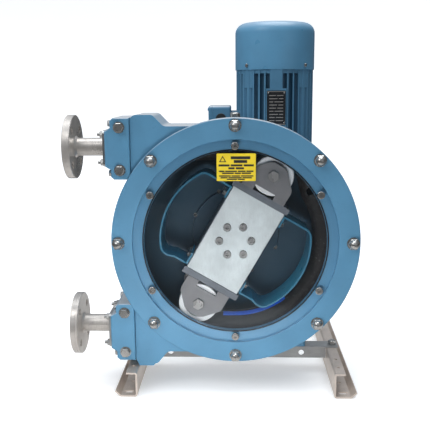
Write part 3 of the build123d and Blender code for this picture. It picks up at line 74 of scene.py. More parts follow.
class Nodes:
    """A material's node tree, with one short call for each kind of node."""

    def __init__(self, name):
        self.name = name
        self.material = bpy.data.materials.new(name)
        self.material.use_nodes = True
        self.tree = self.material.node_tree
        self.shader = self.tree.nodes["Principled BSDF"]
        self.place = self.add("ShaderNodeTexCoord").outputs["Object"]

    def add(self, kind, **settings):
        node = self.tree.nodes.new(kind)
        for key, value in settings.items():
            setattr(node, key, value)
        return node

    def feed(self, node, socket, value):
        """Link a socket if the value comes from another node; set it if it is a constant."""
        if isinstance(value, bpy.types.NodeSocket):
            self.tree.links.new(value, node.inputs[socket])
        else:
            node.inputs[socket].default_value = value

    def stretch(self, scale):
        """The object's own coordinates, scaled along each axis."""
        mapping = self.add("ShaderNodeMapping")
        self.feed(mapping, "Vector", self.place)
        self.feed(mapping, "Scale", scale)
        return mapping.outputs["Vector"]

    def noise(self, scale, detail, rough=0.5, place=None):
        """Cloudy noise of about a scale in clouds per metre."""
        texture = self.add("ShaderNodeTexNoise")
        self.feed(texture, "Vector", place or self.place)
        self.feed(texture, "Scale", scale)
        self.feed(texture, "Detail", detail)
        self.feed(texture, "Roughness", rough)
        return texture.outputs["Fac"]

    def ramp(self, value, low, high, start=0.0, end=1.0):
        """Map a value from low..high to start..end, held at both ends."""
        node = self.add("ShaderNodeMapRange", clamp=True)
        self.feed(node, "Value", value)
        for socket, number in (("From Min", low), ("From Max", high), ("To Min", start),
                               ("To Max", end)):
            self.feed(node, socket, number)
        return node.outputs["Result"]

    def patches(self, scale, detail, low, high, start=0.0, end=1.0, rough=0.5, place=None):
        """Noise mapped from low..high to start..end, so that it makes patches."""
        return self.ramp(self.noise(scale, detail, rough, place), low, high, start, end)

    def math(self, operation, first, second):
        node = self.add("ShaderNodeMath", operation=operation)
        self.feed(node, 0, first)
        self.feed(node, 1, second)
        return node.outputs[0]

    def mix(self, share, first, second):
        """A colour that goes from the first to the second as the share goes from 0 to 1."""
        node = self.add("ShaderNodeMix", data_type="RGBA")
        self.feed(node, "Factor", share)
        for index, colour in ((6, first), (7, second)):
            if isinstance(colour, bpy.types.NodeSocket):
                self.tree.links.new(colour, node.inputs[index])
            else:
                node.inputs[index].default_value = (*colour, 1.0)
        return node.outputs[2]

    def upward(self, low, high):
        """Rises from 0 to 1 as the height part of the surface's normal goes from low to high."""
        normal = self.add("ShaderNodeNewGeometry").outputs["Normal"]
        split = self.add("ShaderNodeSeparateXYZ")
        self.feed(split, "Vector", normal)
        return self.ramp(split.outputs["Z"], low, high)

    def edges(self, radius):
        """1 along sharp outside edges within about a radius, 0 elsewhere."""
        bevel = self.add("ShaderNodeBevel", samples=4)
        self.feed(bevel, "Radius", radius)
        normal = self.add("ShaderNodeNewGeometry").outputs["Normal"]
        dot = self.add("ShaderNodeVectorMath", operation="DOT_PRODUCT")
        self.tree.links.new(bevel.outputs["Normal"], dot.inputs[0])
        self.tree.links.new(normal, dot.inputs[1])
        return self.ramp(dot.outputs["Value"], FLAT, ROUNDED)

    def axis_distance(self, point, across):
        """Distance from an axis through a point; across is 0 along it and 1 the other two ways."""
        offset = self.add("ShaderNodeVectorMath", operation="SUBTRACT")
        self.feed(offset, 0, self.place)
        self.feed(offset, 1, point)
        flat = self.add("ShaderNodeVectorMath", operation="MULTIPLY")
        self.feed(flat, 0, offset.outputs["Vector"])
        self.feed(flat, 1, across)
        distance = self.add("ShaderNodeVectorMath", operation="LENGTH")
        self.feed(distance, 0, flat.outputs["Vector"])
        return distance.outputs["Value"]

    def between(self, axis, low, high):
        """1 where the place along X, Y or Z is between two values, 0 elsewhere."""
        split = self.add("ShaderNodeSeparateXYZ")
        self.feed(split, "Vector", self.place)
        after = self.ramp(split.outputs[axis], low - MASK_EDGE, low)
        before = self.ramp(split.outputs[axis], high + MASK_EDGE, high)
        return self.math("MULTIPLY", after, before)

    def inside_drum(self):
        """1 in the drum, behind the cover and nearer the pump axis than the flange, 0 elsewhere:
        where painted shade darkens the drum's inside.
        """
        distance = self.axis_distance(PUMP_AXIS, (1.0, 0.0, 1.0))
        near = self.ramp(distance, DRUM_RADIUS + 2 * MASK_EDGE, DRUM_RADIUS)
        return self.math("MULTIPLY", near, self.between("Y", DRUM_FRONT, DRUM_BACK))

    def behind_window(self):
        """1 on the ledge that the window lies on, 0 on the rest of the cover ring: where painted
        light brightens the ledge in the shadow of the window and rim.
        """
        distance = self.axis_distance(PUMP_AXIS, (1.0, 0.0, 1.0))
        return self.ramp(distance, WINDOW_RADIUS + MASK_EDGE, WINDOW_RADIUS)

    def between_fins(self):
        """Rises from 0 near the tips of the motor's fins to 1 at their roots; 0 off the motor. It
        marks painted shade in the gaps between the fins.
        """
        distance = self.axis_distance(MOTOR_AXIS, (1.0, 1.0, 0.0))
        deep = self.ramp(distance, FIN_SHADE, FIN_ROOT)
        return self.math("MULTIPLY", deep, self.between("Z", fins_low[2], fins_high[2]))

    def bump(self, height, strength, distance):
        """Raise the surface by a height map, at most by a distance in metres."""
        node = self.add("ShaderNodeBump")
        self.feed(node, "Strength", strength)
        self.feed(node, "Distance", distance)
        self.feed(node, "Height", height)
        self.feed(self.shader, "Normal", node.outputs["Normal"])

    def finish(self, colour, roughness, metallic=0.0, coat=0.0, specular=0.5):
        """Wire up the shader and keep the material under its name."""
        self.feed(self.shader, "Base Color", colour)
        self.feed(self.shader, "Roughness", roughness)
        self.feed(self.shader, "Metallic", metallic)
        self.feed(self.shader, "Coat Weight", coat)
        self.feed(self.shader, "Coat Roughness", COAT_ROUGHNESS)
        self.feed(self.shader, "Specular IOR Level", specular)
        finishes[self.name] = self.material
        return self.material


def shade(colour, factor):
    """A colour made darker or paler by a factor."""
    return tuple(min(1.0, part * factor) for part in colour)


def paint(name, colour, roughness=0.42, casting=0.5, dust_and_sheen_strength=0.9, dust_and_sheen_tone=(0.56, 0.55, 0.54),
          dust_and_sheen_from=0.35, dust_and_sheen_full=0.95, painted_shading=None):
    """Sprayed paint: cloudy tone, dust with a painted sky sheen on top faces, worn pale edges,
    orange peel, casting waves.

    The top tone, dust and painted sheen together, starts where the surface faces up by its lower
    limit and is full at its upper limit. The painted shading, if given, holds a mask for where
    painted shade or painted light gives the paint another flat tone, and how bright that tone is.
    """
    n = Nodes(name)
    cloud = n.patches(scale=9.0, detail=4.0, low=0.3, high=0.7)
    tone = n.mix(cloud, shade(colour, 0.90), shade(colour, 1.10))
    speck = n.patches(scale=150.0, detail=2.0, low=0.62, high=0.74, end=0.22)
    tone = n.mix(speck, tone, shade(colour, 0.72))
    # dust with a painted sky sheen: faces that look up take a pale film
    dust_and_sheen_cover = n.patches(scale=70.0, detail=5.0, low=0.35, high=0.75, start=0.8 * dust_and_sheen_strength, end=dust_and_sheen_strength)
    tone = n.mix(n.math("MULTIPLY", n.upward(dust_and_sheen_from, dust_and_sheen_full), dust_and_sheen_cover), tone, dust_and_sheen_tone)
    rubbed = n.patches(scale=55.0, detail=4.0, low=0.42, high=0.62, start=0.05, end=0.65)
    tone = n.mix(n.math("MULTIPLY", n.edges(radius=0.0012), rubbed), tone, shade(colour, 2.1))
    # painted shade or painted light: where the mask is, the paint takes a flat darker or brighter
    # tone
    if painted_shading:
        mask, brightness = painted_shading
        tone = n.mix(mask(n), tone, shade(colour, brightness))
    peel = n.math("MULTIPLY", n.noise(scale=700.0, detail=2.0), 0.35)
    waves = n.math("MULTIPLY", n.noise(scale=60.0, detail=3.0), casting * 4.0)
    n.bump(n.math("ADD", peel, waves), strength=0.12, distance=0.0012)
    gloss = n.patches(scale=24.0, detail=3.0, low=0.3, high=0.7,
                      start=roughness - 0.07, end=roughness + 0.09)
    return n.finish(tone, gloss, coat=0.12)


def steel(name, colour, roughness, along=(1, 1, 1), grain=0.4, stain=(0.25, 0.22, 0.19),
          metallic=1.0):
    """Bare metal with rolling or turning marks, pale edges and faint stains.

    The marks run along the axis where along is small.
    """
    n = Nodes(name)
    grained = n.stretch(along)
    marks = n.noise(scale=900.0, detail=3.0, place=grained)
    cloud = n.patches(scale=22.0, detail=4.0, low=0.35, high=0.75)
    tone = n.mix(cloud, shade(colour, 1.08), shade(colour, 0.82))
    tone = n.mix(n.ramp(marks, low=0.35, high=0.65, end=0.35), tone, shade(colour, 0.70))
    blot = n.patches(scale=70.0, detail=5.0, low=0.60, high=0.74, end=0.40, rough=0.65)
    tone = n.mix(blot, tone, stain)
    tone = n.mix(n.math("MULTIPLY", n.edges(radius=0.0006), 0.6), tone, shade(colour, 1.5))
    n.bump(marks, strength=grain * 0.3, distance=0.0004)
    gloss = n.patches(scale=40.0, detail=3.0, low=0.3, high=0.7,
                      start=roughness - 0.08, end=roughness + 0.14, place=grained)
    return n.finish(tone, gloss, metallic=metallic)


def rubber(name, colour, ribs=0.0):
    """Black rubber with talc bloom and scuffs, and a cloth-wrap pattern where ribs is set."""
    n = Nodes(name)
    cloud = n.patches(scale=35.0, detail=5.0, low=0.35, high=0.75, rough=0.6)
    tone = n.mix(cloud, colour, shade(colour, 1.8))
    scuff = n.patches(scale=180.0, detail=4.0, low=0.60, high=0.72, end=0.5)
    tone = n.mix(scuff, tone, (0.12, 0.12, 0.12))
    height = n.noise(scale=420.0, detail=3.0)
    if ribs:
        wrap = n.add("ShaderNodeTexWave", wave_type="BANDS", bands_direction="Y")
        n.feed(wrap, "Vector", n.place)
        n.feed(wrap, "Scale", ribs)
        height = n.math("ADD", height, wrap.outputs["Fac"])
    n.bump(height, strength=0.25, distance=0.0006)
    gloss = n.patches(scale=60.0, detail=3.0, low=0.3, high=0.7, start=0.45, end=0.70)
    return n.finish(tone, gloss, specular=0.4)


def plastic(name, colour, roughness, dirt, soil=0.3):
    """Moulded or turned plastic with fine grain and soiling."""
    n = Nodes(name)
    cloud = n.patches(scale=28.0, detail=4.0, low=0.35, high=0.7)
    tone = n.mix(cloud, shade(colour, 1.04), shade(colour, 0.90))
    smear = n.patches(scale=85.0, detail=5.0, low=0.56, high=0.76, end=soil, rough=0.6)
    tone = n.mix(smear, tone, dirt)
    n.bump(n.noise(scale=600.0, detail=2.0), strength=0.12, distance=0.0005)
    gloss = n.patches(scale=50.0, detail=3.0, low=0.3, high=0.7,
                      start=roughness - 0.08, end=roughness + 0.12)
    return n.finish(tone, gloss)


def clear_sheet(name):
    """Clear acrylic: it mirrors a few percent face on and more along its face, with smears."""
    n = Nodes(name)
    smear = n.patches(scale=14.0, detail=5.0, low=0.45, high=0.75, start=0.04, end=0.16, rough=0.6)
    fresnel = n.add("ShaderNodeFresnel")
    n.feed(fresnel, "IOR", 1.49)
    opacity = n.ramp(fresnel.outputs["Fac"], low=0.04, high=0.8, start=0.04, end=0.7)
    n.feed(n.shader, "Alpha", opacity)
    tone = n.mix(smear, (0.80, 0.90, 0.98), (0.65, 0.75, 0.82))
    return n.finish(tone, smear, metallic=1.0)


BLUE = (0.085, 0.235, 0.375)
# painted shade: the inside of the drum is painted a flat dark blue
paint("blue_paint", BLUE, painted_shading=(Nodes.inside_drum, 0.22))
# painted light: the ledge under the window is painted brighter than the rest of the ring
paint("cover_paint_painted_light", BLUE, painted_shading=(Nodes.behind_window, 1.30))
# painted shade: the gaps between the motor's fins are painted darker toward their roots
paint("motor_paint", BLUE, casting=0.9, painted_shading=(Nodes.between_fins, 0.30))
paint("cowl_paint", shade(BLUE, 1.22), roughness=0.34, casting=0.1, dust_and_sheen_strength=0.35)
# painted light: faces of the wings that look up are painted a lighter blue, as if lit from above
paint("wing_paint", (0.034, 0.18, 0.29), roughness=0.34, casting=0.1,
      dust_and_sheen_tone=(0.06, 0.48, 0.74), dust_and_sheen_from=0.05, dust_and_sheen_full=0.65)
rubber("black_rubber", (0.018, 0.018, 0.018))
rubber("hose_rubber", (0.014, 0.012, 0.011), ribs=120.0)
clear_sheet("clear_window")
steel("bright_steel", (0.48, 0.47, 0.45), 0.22, metallic=0.9)
steel("stainless", (0.60, 0.56, 0.52), 0.30, along=(1, 0.06, 0.06), metallic=0.6)
steel("zinc_plate", (0.52, 0.52, 0.51), 0.34)
steel("frame_steel", (0.68, 0.59, 0.52), 0.36, along=(1, 0.05, 1), metallic=0.55)
steel("beam_steel", (0.36, 0.36, 0.36), 0.40, along=(0.05, 1, 1), metallic=0.5)
steel("bearing_steel", (0.60, 0.60, 0.61), 0.18)
steel("lamination_steel", (0.26, 0.24, 0.22), 0.5, along=(0.1, 0.1, 1))
steel("shaft_steel", (0.50, 0.49, 0.48), 0.26, metallic=0.6)
steel("bronze", (0.60, 0.38, 0.16), 0.30, stain=(0.20, 0.12, 0.05))
steel("rotor_iron", (0.30, 0.31, 0.33), 0.46)
steel("rotor_plate", (0.68, 0.74, 0.75), 0.40, along=(1, 1, 0.08), grain=0.3,
      stain=(0.50, 0.52, 0.52), metallic=0.15)
steel("bracket_steel", (0.28, 0.28, 0.29), 0.38, metallic=0.4)
steel("plate_steel", (0.21, 0.23, 0.26), 0.36, along=(1, 0.08, 1), metallic=0.4)
plastic("white_nylon", (0.86, 0.88, 0.89), 0.36, dirt=(0.45, 0.45, 0.44), soil=0.2)
plastic("black_plastic", (0.022, 0.022, 0.023), 0.5, dirt=(0.10, 0.10, 0.09))
plastic("nameplate", (0.016, 0.017, 0.019), 0.3, dirt=(0.25, 0.25, 0.24), soil=0.2)
plastic("hose_mark", (0.012, 0.13, 0.80), 0.4, dirt=(0.02, 0.03, 0.08))
plastic("yellow_label", (0.80, 0.60, 0.03), 0.32, dirt=(0.45, 0.33, 0.08), soil=0.15)
own_finish = {"front_cover_ring": "cover_paint_painted_light", "front_cross_beam": "beam_steel",
              "rear_cross_beam": "beam_steel", "rotor_screws": "shaft_steel"}
slot_of = {entry["node"]: entry["material_slot"] for entry in frame["record"]["subparts"]}
for name, obj in nodes.items():
    wanted = own_finish.get(name, slot_of[name])
    for material_slot in obj.material_slots:
        material_slot.material = finishes[wanted]


# ---- mesh helpers ----
def piece(name, vertices, faces, finish, smooth=False):
    """A new mesh piece in the row frame that rides on the root and takes a record slot."""
    mesh = bpy.data.meshes.new(name)
    mesh.from_pydata([tuple(v) for v in vertices], [], faces)
    mesh.validate()
    mesh.materials.append(finishes[finish])
    if smooth:
        mesh.shade_smooth()
    obj = bpy.data.objects.new(name, mesh)
    bpy.context.scene.collection.objects.link(obj)
    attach(obj, ROOT)
    return obj


def printed(name, outlines, face_y, height, finish):
    """Flat shapes raised a hair above a face that looks along -Y; each outline is (x, z) pairs."""
    vertices, faces = [], []
    for outline in outlines:
        first, count = len(vertices), len(outline)
        for y in (face_y + height, face_y - height):
            vertices += [(x, y, z) for x, z in outline]
        faces.append([first + i for i in reversed(range(count))])
        faces.append([first + count + i for i in range(count)])
        for i in range(count):
            after = (i + 1) % count
            faces.append([first + i, first + after, first + count + after, first + count + i])
    return piece(name, vertices, faces, finish)


def bar(left, right, middle, height):
    """The outline of a level bar."""
    low, high = middle - height / 2, middle + height / 2
    return [(left, low), (right, low), (right, high), (left, high)]


BEAD_SIDES = 10
RIPPLE_DEPTH = 0.10
RIPPLE_TURN = 2.1  # radians from one ring of the bead to the next


def weld_bead(name, path, radius, finish):
    """A rippled bead along a closed path of (point, outward, along) vectors."""
    vertices, faces = [], []
    for index, (point, outward, along) in enumerate(path):
        across = along.cross(outward)
        ripple = radius * (1.0 + RIPPLE_DEPTH * math.sin(index * RIPPLE_TURN))
        for side in range(BEAD_SIDES):
            turn = 2 * math.pi * side / BEAD_SIDES
            vertices.append(point + outward * math.cos(turn) * ripple
                            + across * math.sin(turn) * ripple)
    for ring in range(len(path)):
        here, there = ring * BEAD_SIDES, (ring + 1) % len(path) * BEAD_SIDES
        for side in range(BEAD_SIDES):
            after = (side + 1) % BEAD_SIDES
            faces.append([here + side, here + after, there + after, there + side])
    return piece(name, vertices, faces, finish, smooth=True)


# ---- label: a triangle and plain bars, no lettering ----
label_low, label_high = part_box("caution_label")
label_x, label_z = (label_low[0] + label_high[0]) / 2, (label_low[2] + label_high[2]) / 2
label_w, label_h = label_high[0] - label_low[0], label_high[2] - label_low[2]
PRINT_HEIGHT = 0.0003
# in shares of the label: height above its middle, height of the bar, then the ends of each bar
LABEL_ROWS = [
    (0.345, 0.105, ((-0.14, 0.36),)),
    (0.210, 0.105, ((-0.06, 0.28),)),
    (0.070, 0.072, ((-0.45, -0.17), (-0.14, 0.16), (0.19, 0.45))),
    (-0.035, 0.072, ((-0.20, -0.04), (-0.01, 0.20))),
    (-0.145, 0.050, ((-0.44, -0.30), (-0.28, 0.02), (0.04, 0.24), (0.26, 0.44))),
    (-0.215, 0.050, ((-0.36, -0.06), (-0.04, 0.12), (0.14, 0.38))),
    (-0.315, 0.044, ((-0.44, -0.14), (-0.12, 0.10), (0.12, 0.44))),
    (-0.380, 0.044, ((-0.40, -0.22), (-0.20, 0.14), (0.16, 0.40))),
    (-0.440, 0.040, ((-0.24, 0.02), (0.04, 0.22))),
]
label_bars = [bar(label_x + left * label_w, label_x + right * label_w,
                  label_z + middle * label_h, height * label_h)
              for middle, height, spans in LABEL_ROWS for left, right in spans]
SIGN_LEFT, SIGN_UP = 0.345, 0.265  # shares of the label's width and height from its middle
SIGN_OUT, SIGN_IN = 0.0095, 0.0060
sign_x, sign_z = label_x - SIGN_LEFT * label_w, label_z + SIGN_UP * label_h


def corner(number, reach):
    """A corner of the warning triangle, counted from the top one."""
    turn = math.radians(90 + 120 * number)
    return sign_x + reach * math.cos(turn), sign_z + reach * math.sin(turn)


sign_sides = [[corner(i, SIGN_OUT), corner(i + 1, SIGN_OUT), corner(i + 1, SIGN_IN),
               corner(i, SIGN_IN)] for i in range(3)]
printed("label_print", label_bars + sign_sides, label_low[1], PRINT_HEIGHT, "black_plastic")

# ---- nameplate: raised rim, plain bars and four rivets ----
plate_low, plate_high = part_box("motor_nameplate")
plate_x = (plate_low[0] + plate_high[0]) / 2
RIM = 0.0012
PLATE_ROWS = 9
ROW_PITCH = 0.0076
FIRST_ROW = 0.012
ROW_MARGIN = 0.006
ROW_HEIGHT = 0.0017
ROW_GAP = 0.003
ROW_SWING = 0.006  # how far the gap in a row wanders to either side of the middle
SWING_TURN = 2.3  # radians from one row to the next
ENGRAVING_HEIGHT = 0.0002
plate_shapes = [bar(plate_low[0] + RIM, plate_high[0] - RIM, z, RIM)
                for z in (plate_low[2] + 2 * RIM, plate_high[2] - 2 * RIM)]
for row in range(PLATE_ROWS):
    z = plate_high[2] - FIRST_ROW - ROW_PITCH * row
    split_at = plate_x + ROW_SWING * math.sin(SWING_TURN * row)
    plate_shapes.append(bar(plate_low[0] + ROW_MARGIN, split_at - ROW_GAP / 2, z, ROW_HEIGHT))
    plate_shapes.append(bar(split_at + ROW_GAP / 2, plate_high[0] - ROW_MARGIN, z, ROW_HEIGHT))
printed("nameplate_print", plate_shapes, plate_low[1], ENGRAVING_HEIGHT, "stainless")

RIVET_RADIUS = 0.0019
RIVET_HEIGHT = 0.0013
RIVET_IN = 0.0035
RIVET_DOWN = 0.0055
DOME_RINGS = 4
DOME_SIDES = 16


def dome(centre, radius, height):
    """Vertices and faces of a low dome on a face that looks along -Y."""
    vertices = [(centre[0], centre[1] - height, centre[2])]
    for ring in range(1, DOME_RINGS + 1):
        slope = math.pi / 2 * ring / DOME_RINGS
        for side in range(DOME_SIDES):
            turn = 2 * math.pi * side / DOME_SIDES
            vertices.append((centre[0] + radius * math.sin(slope) * math.cos(turn),
                             centre[1] - height * math.cos(slope),
                             centre[2] + radius * math.sin(slope) * math.sin(turn)))
    faces = [[0, 1 + side, 1 + (side + 1) % DOME_SIDES] for side in range(DOME_SIDES)]
    for ring in range(DOME_RINGS - 1):
        here, there = 1 + ring * DOME_SIDES, 1 + (ring + 1) * DOME_SIDES
        for side in range(DOME_SIDES):
            after = (side + 1) % DOME_SIDES
            faces.append([here + side, there + side, there + after, here + after])
    last = 1 + (DOME_RINGS - 1) * DOME_SIDES
    faces.append([last + side for side in range(DOME_SIDES)])
    return vertices, faces


rivet_vertices, rivet_faces = [], []
for x in (plate_low[0] + RIVET_IN, plate_high[0] - RIVET_IN):
    for z in (plate_low[2] + RIVET_DOWN, plate_high[2] - RIVET_DOWN):
        vertices, faces = dome((x, plate_low[1], z), RIVET_RADIUS, RIVET_HEIGHT)
        rivet_faces += [[index + len(rivet_vertices) for index in face] for face in faces]
        rivet_vertices += vertices
piece("nameplate_rivets", rivet_vertices, rivet_faces, "bright_steel", smooth=True)

# ---- weld beads where each port tube meets its flange ----
TUBE_RADIUS = 0.0212
FLANGE_THICKNESS = 0.018
BEAD_RADIUS = 0.0022
BEAD_STEPS = 72
for level in ("upper", "lower"):
    flange_low, flange_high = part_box(level + "_port_flange")
    centre = Vector((flange_low[0] + FLANGE_THICKNESS, (flange_low[1] + flange_high[1]) / 2,
                     (flange_low[2] + flange_high[2]) / 2))
    bead = []
    for step in range(BEAD_STEPS):
        turn = 2 * math.pi * step / BEAD_STEPS
        outward = Vector((0, math.cos(turn), math.sin(turn)))
        along = Vector((0, -math.sin(turn), math.cos(turn)))
        bead.append((centre + outward * TUBE_RADIUS, outward, along))
    weld_bead(level + "_port_weld", bead, BEAD_RADIUS, "stainless")

# ---- blue marking stripe along the inner side of the hose ----
hose_low, hose_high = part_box("pump_hose")
HOSE_RADIUS = 0.033
HOSE_MIDDLE_Y = (hose_low[1] + hose_high[1]) / 2
BEND_RADIUS = (hose_high[2] - hose_low[2]) / 2 - HOSE_RADIUS
STRIPE_TILT = math.radians(66)  # from the hose's front toward the pump axis
STRIPE_HALF = math.radians(12)
STRIPE_LIFT = 0.0004
STRIPE_COLUMNS = 5
STRAIGHT_STEPS, STRAIGHT_STEP = 3, 0.01
BEND_STEPS, BEND_STEP = 27, 1.5  # the step in degrees
LOWEST = -90.0
section = [(STRIPE_TILT + STRIPE_HALF * (2 * column / (STRIPE_COLUMNS - 1) - 1), STRIPE_LIFT)
           for column in range(STRIPE_COLUMNS)]
section += [(tilt, -lift) for tilt, lift in reversed(section)]
# (distance along the straight run, angle round the bend), from the lower port to the right
stripe_path = [((step - STRAIGHT_STEPS) * STRAIGHT_STEP, LOWEST) for step in range(STRAIGHT_STEPS)]
stripe_path += [(0.0, LOWEST + BEND_STEP * step) for step in range(BEND_STEPS)]
stripe_vertices, stripe_faces = [], []
for run, angle in stripe_path:
    turn = math.radians(angle)
    for tilt, lift in section:
        reach = BEND_RADIUS - (HOSE_RADIUS + lift) * math.sin(tilt)
        y = HOSE_MIDDLE_Y - (HOSE_RADIUS + lift) * math.cos(tilt)
        stripe_vertices.append((PUMP_AXIS[0] + run + reach * math.cos(turn), y,
                                PUMP_AXIS[2] + reach * math.sin(turn)))
for ring in range(len(stripe_path) - 1):
    first = ring * len(section)
    for side in range(len(section)):
        after = (side + 1) % len(section)
        stripe_faces.append([first + side, first + after, first + len(section) + after,
                             first + len(section) + side])
stripe_faces.append(list(reversed(range(len(section)))))
stripe_faces.append([len(section) * (len(stripe_path) - 1) + side for side in range(len(section))])
piece("hose_stripe", stripe_vertices, stripe_faces, "hose_mark")

# ---- camera ----
CAMERA_AT = Vector((0.01145, -1.78958, 0.71729))
PITCH, YAW, ROLL = (math.radians(angle) for angle in (10.441, -2.117, -0.4177))
LENS, SENSOR_WIDTH = 57.9, 36.0  # both in millimetres
ahead = Vector((math.sin(YAW) * math.cos(PITCH), math.cos(YAW) * math.cos(PITCH),
                -math.sin(PITCH)))
level_right = Vector((math.cos(YAW), -math.sin(YAW), 0.0))
level_up = level_right.cross(ahead)
right = level_right * math.cos(ROLL) + level_up * math.sin(ROLL)
up = level_up * math.cos(ROLL) - level_right * math.sin(ROLL)
camera_data = bpy.data.cameras.new("camera")
camera_data.lens = LENS
camera_data.sensor_width = SENSOR_WIDTH
camera = bpy.data.objects.new("camera", camera_data)
facing = Matrix((right, up, -ahead)).transposed().to_4x4()
camera.matrix_world = Matrix.Translation(CAMERA_AT) @ facing
bpy.context.scene.collection.objects.link(camera)
bpy.context.scene.camera = camera

# ---- floor, backdrop and light ----
FLOOR_LEVEL = -0.0005
FLOOR_SIDES = 96
FLOOR_RADIUS = 3.0
SWEEP_RADIUS = 2.0
BACKDROP_HEIGHT = 6.0
floor_profile = [(reach, 0.0) for reach in (0.3, 1.0, 2.0, FLOOR_RADIUS)]
sweep_profile = [(FLOOR_RADIUS + SWEEP_RADIUS * math.sin(math.radians(angle)),
                  SWEEP_RADIUS - SWEEP_RADIUS * math.cos(math.radians(angle)))
                 for angle in range(0, 91, 6)]
sweep_profile.append((FLOOR_RADIUS + SWEEP_RADIUS, BACKDROP_HEIGHT))

GLOW_FROM = 0.4  # distance from the middle at which the paper starts to brighten
MIRRORED_NEAR, MIRRORED_FAR = 0.6, 0.95
MIRRORED_GLOW = 0.65
PAPER_SEEN = (0.92, 0.92, 0.92)
PAPER_LIT = (0.45, 0.45, 0.45)
PAPER_MIRRORED = (0.14, 0.14, 0.14)


def studio_surface(name, glow_low, glow_high):
    """Pale paper. Seen directly, or mirrored near the object, it is brighter than its own shade."""
    paper = Nodes(name)
    radius = paper.add("ShaderNodeVectorMath", operation="LENGTH")
    paper.feed(radius, 0, paper.place)
    rays = paper.add("ShaderNodeLightPath")
    to_camera, in_mirror = rays.outputs["Is Camera Ray"], rays.outputs["Is Glossy Ray"]
    far = paper.ramp(radius.outputs["Value"], GLOW_FROM, FLOOR_RADIUS, glow_low, glow_high)
    near = paper.ramp(radius.outputs["Value"], MIRRORED_NEAR, MIRRORED_FAR, MIRRORED_GLOW, 0.0)
    glow = paper.math("ADD", paper.math("MULTIPLY", to_camera, far),
                      paper.math("MULTIPLY", in_mirror, near))
    paper.feed(paper.shader, "Emission Color", (1.0, 1.0, 1.0, 1.0))
    paper.feed(paper.shader, "Emission Strength", glow)
    tone = paper.mix(to_camera, PAPER_LIT, PAPER_SEEN)
    tone = paper.mix(in_mirror, tone, PAPER_MIRRORED)
    material = paper.finish(tone, 0.9, specular=0.1)
    material.cycles.emission_sampling = "NONE"
    return material


def turned(name, profile, filled, material):
    """A stage surface turned about the vertical through the origin, filled or open inside."""
    vertices, faces = [], []
    for reach, rise in profile:
        for side in range(FLOOR_SIDES):
            turn = 2 * math.pi * side / FLOOR_SIDES
            vertices.append((reach * math.cos(turn), reach * math.sin(turn), FLOOR_LEVEL + rise))
    for ring in range(len(profile) - 1):
        for side in range(FLOOR_SIDES):
            first = ring * FLOOR_SIDES + side
            after = ring * FLOOR_SIDES + (side + 1) % FLOOR_SIDES
            faces.append([first, first + FLOOR_SIDES, after + FLOOR_SIDES, after])
    if filled:
        faces.append(list(range(FLOOR_SIDES)))
    mesh = bpy.data.meshes.new(name)
    mesh.from_pydata(vertices, [], faces)
    mesh.shade_smooth()
    mesh.materials.append(material)
    obj = bpy.data.objects.new(name, mesh)
    bpy.context.scene.collection.objects.link(obj)
    return obj


NEAR_GLOW, FAR_GLOW = 0.30, 0.62  # what the camera sees under the pump and at the horizon
floor_paper = studio_surface("floor_paper", NEAR_GLOW, FAR_GLOW)
turned("floor", floor_profile, True, floor_paper)
backdrop_paper = studio_surface("backdrop_paper", FAR_GLOW, FAR_GLOW)
backdrop_sweep = turned("backdrop", sweep_profile, False, backdrop_paper)
backdrop_sweep.visible_diffuse = False
backdrop_sweep.visible_glossy = False
backdrop_sweep.visible_shadow = False

SKY_LOW = (0.07, 0.075, 0.08, 1.0)
SKY_HIGH = (0.72, 0.78, 0.86, 1.0)
SKY_REACH = 0.9  # share of a unit direction at which the sky stops changing
RIGHT_SIDE = 0.25  # how much of the sky's rise is left on the right
SEEN_BACKDROP = (0.93, 0.93, 0.93, 1.0)
world = bpy.data.worlds.new("studio")
world.use_nodes = True
sky = world.node_tree
direction = sky.nodes.new("ShaderNodeTexCoord")
split = sky.nodes.new("ShaderNodeSeparateXYZ")
sky.links.new(direction.outputs["Generated"], split.inputs["Vector"])


def sky_share(axis, start, end):
    """A value that goes from start to end as the direction turns toward +X or +Z."""
    share = sky.nodes.new("ShaderNodeMapRange")
    for socket, number in (("From Min", 0.0), ("From Max", SKY_REACH), ("To Min", start),
                           ("To Max", end)):
        share.inputs[socket].default_value = number
    sky.links.new(split.outputs[axis], share.inputs["Value"])
    return share.outputs["Result"]


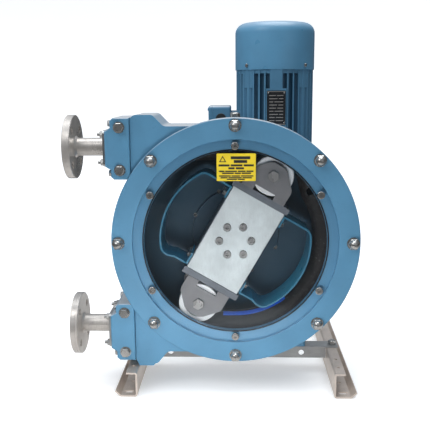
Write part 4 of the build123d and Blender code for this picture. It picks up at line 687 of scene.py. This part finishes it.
# the right-hand side of the studio is darker, so round parts fall off toward the right
dimmed = sky.nodes.new("ShaderNodeMath")
dimmed.operation = "MULTIPLY"
sky.links.new(sky_share("Z", 0.0, 1.0), dimmed.inputs[0])
sky.links.new(sky_share("X", 1.0, RIGHT_SIDE), dimmed.inputs[1])
tint = sky.nodes.new("ShaderNodeMix")
tint.data_type = "RGBA"
tint.inputs[6].default_value = SKY_LOW
tint.inputs[7].default_value = SKY_HIGH
sky.links.new(dimmed.outputs["Value"], tint.inputs["Factor"])
sky_light = sky.nodes["Background"]
sky.links.new(tint.outputs[2], sky_light.inputs["Color"])

# the camera sees a plain pale backdrop; only reflections and light see the darker gradient
backdrop = sky.nodes.new("ShaderNodeBackground")
backdrop.inputs["Color"].default_value = SEEN_BACKDROP
rays = sky.nodes.new("ShaderNodeLightPath")
choose = sky.nodes.new("ShaderNodeMixShader")
sky.links.new(rays.outputs["Is Camera Ray"], choose.inputs["Fac"])
sky.links.new(sky_light.outputs["Background"], choose.inputs[1])
sky.links.new(backdrop.outputs["Background"], choose.inputs[2])
sky.links.new(choose.outputs["Shader"], sky.nodes["World Output"].inputs["Surface"])
bpy.context.scene.world = world

MIDDLE = (0.0, -0.15, 0.40)
UNDER_DRUM = (-0.05, -0.2, 0.10)
MOTOR = (0.1, 0.1, 0.75)
WHITE = (1.0, 1.0, 1.0)
PALE_BLUE = (0.95, 0.98, 1.0)


def softbox(name, at, target, size, power, colour=WHITE):
    """A round area lamp that looks at a target; size in metres, power in watts."""
    lamp = bpy.data.lights.new(name, "AREA")
    lamp.shape = "DISK"
    lamp.size = size
    lamp.energy = power
    lamp.color = colour
    obj = bpy.data.objects.new(name, lamp)
    obj.location = at
    obj.rotation_euler = (Vector(target) - Vector(at)).to_track_quat("-Z", "Y").to_euler()
    bpy.context.scene.collection.objects.link(obj)
    return obj


softbox("key", (-1.8, -2.0, 2.6), MIDDLE, size=1.6, power=23.0)
softbox("sky", (0.2, 0.1, 3.2), MIDDLE, size=2.4, power=66.0, colour=PALE_BLUE)
softbox("fill", (1.9, -2.4, 0.8), MIDDLE, size=1.8, power=2.0)
bounce = softbox("bounce", (-0.10, -0.85, 0.08), UNDER_DRUM, size=0.5, power=5.0)
bounce.visible_camera = False
bounce.visible_glossy = False
side = softbox("side", (-2.4, -0.9, 1.5), MOTOR, size=1.0, power=10.0)
side.visible_glossy = False
bpy.context.scene.view_settings.view_transform = "Standard"
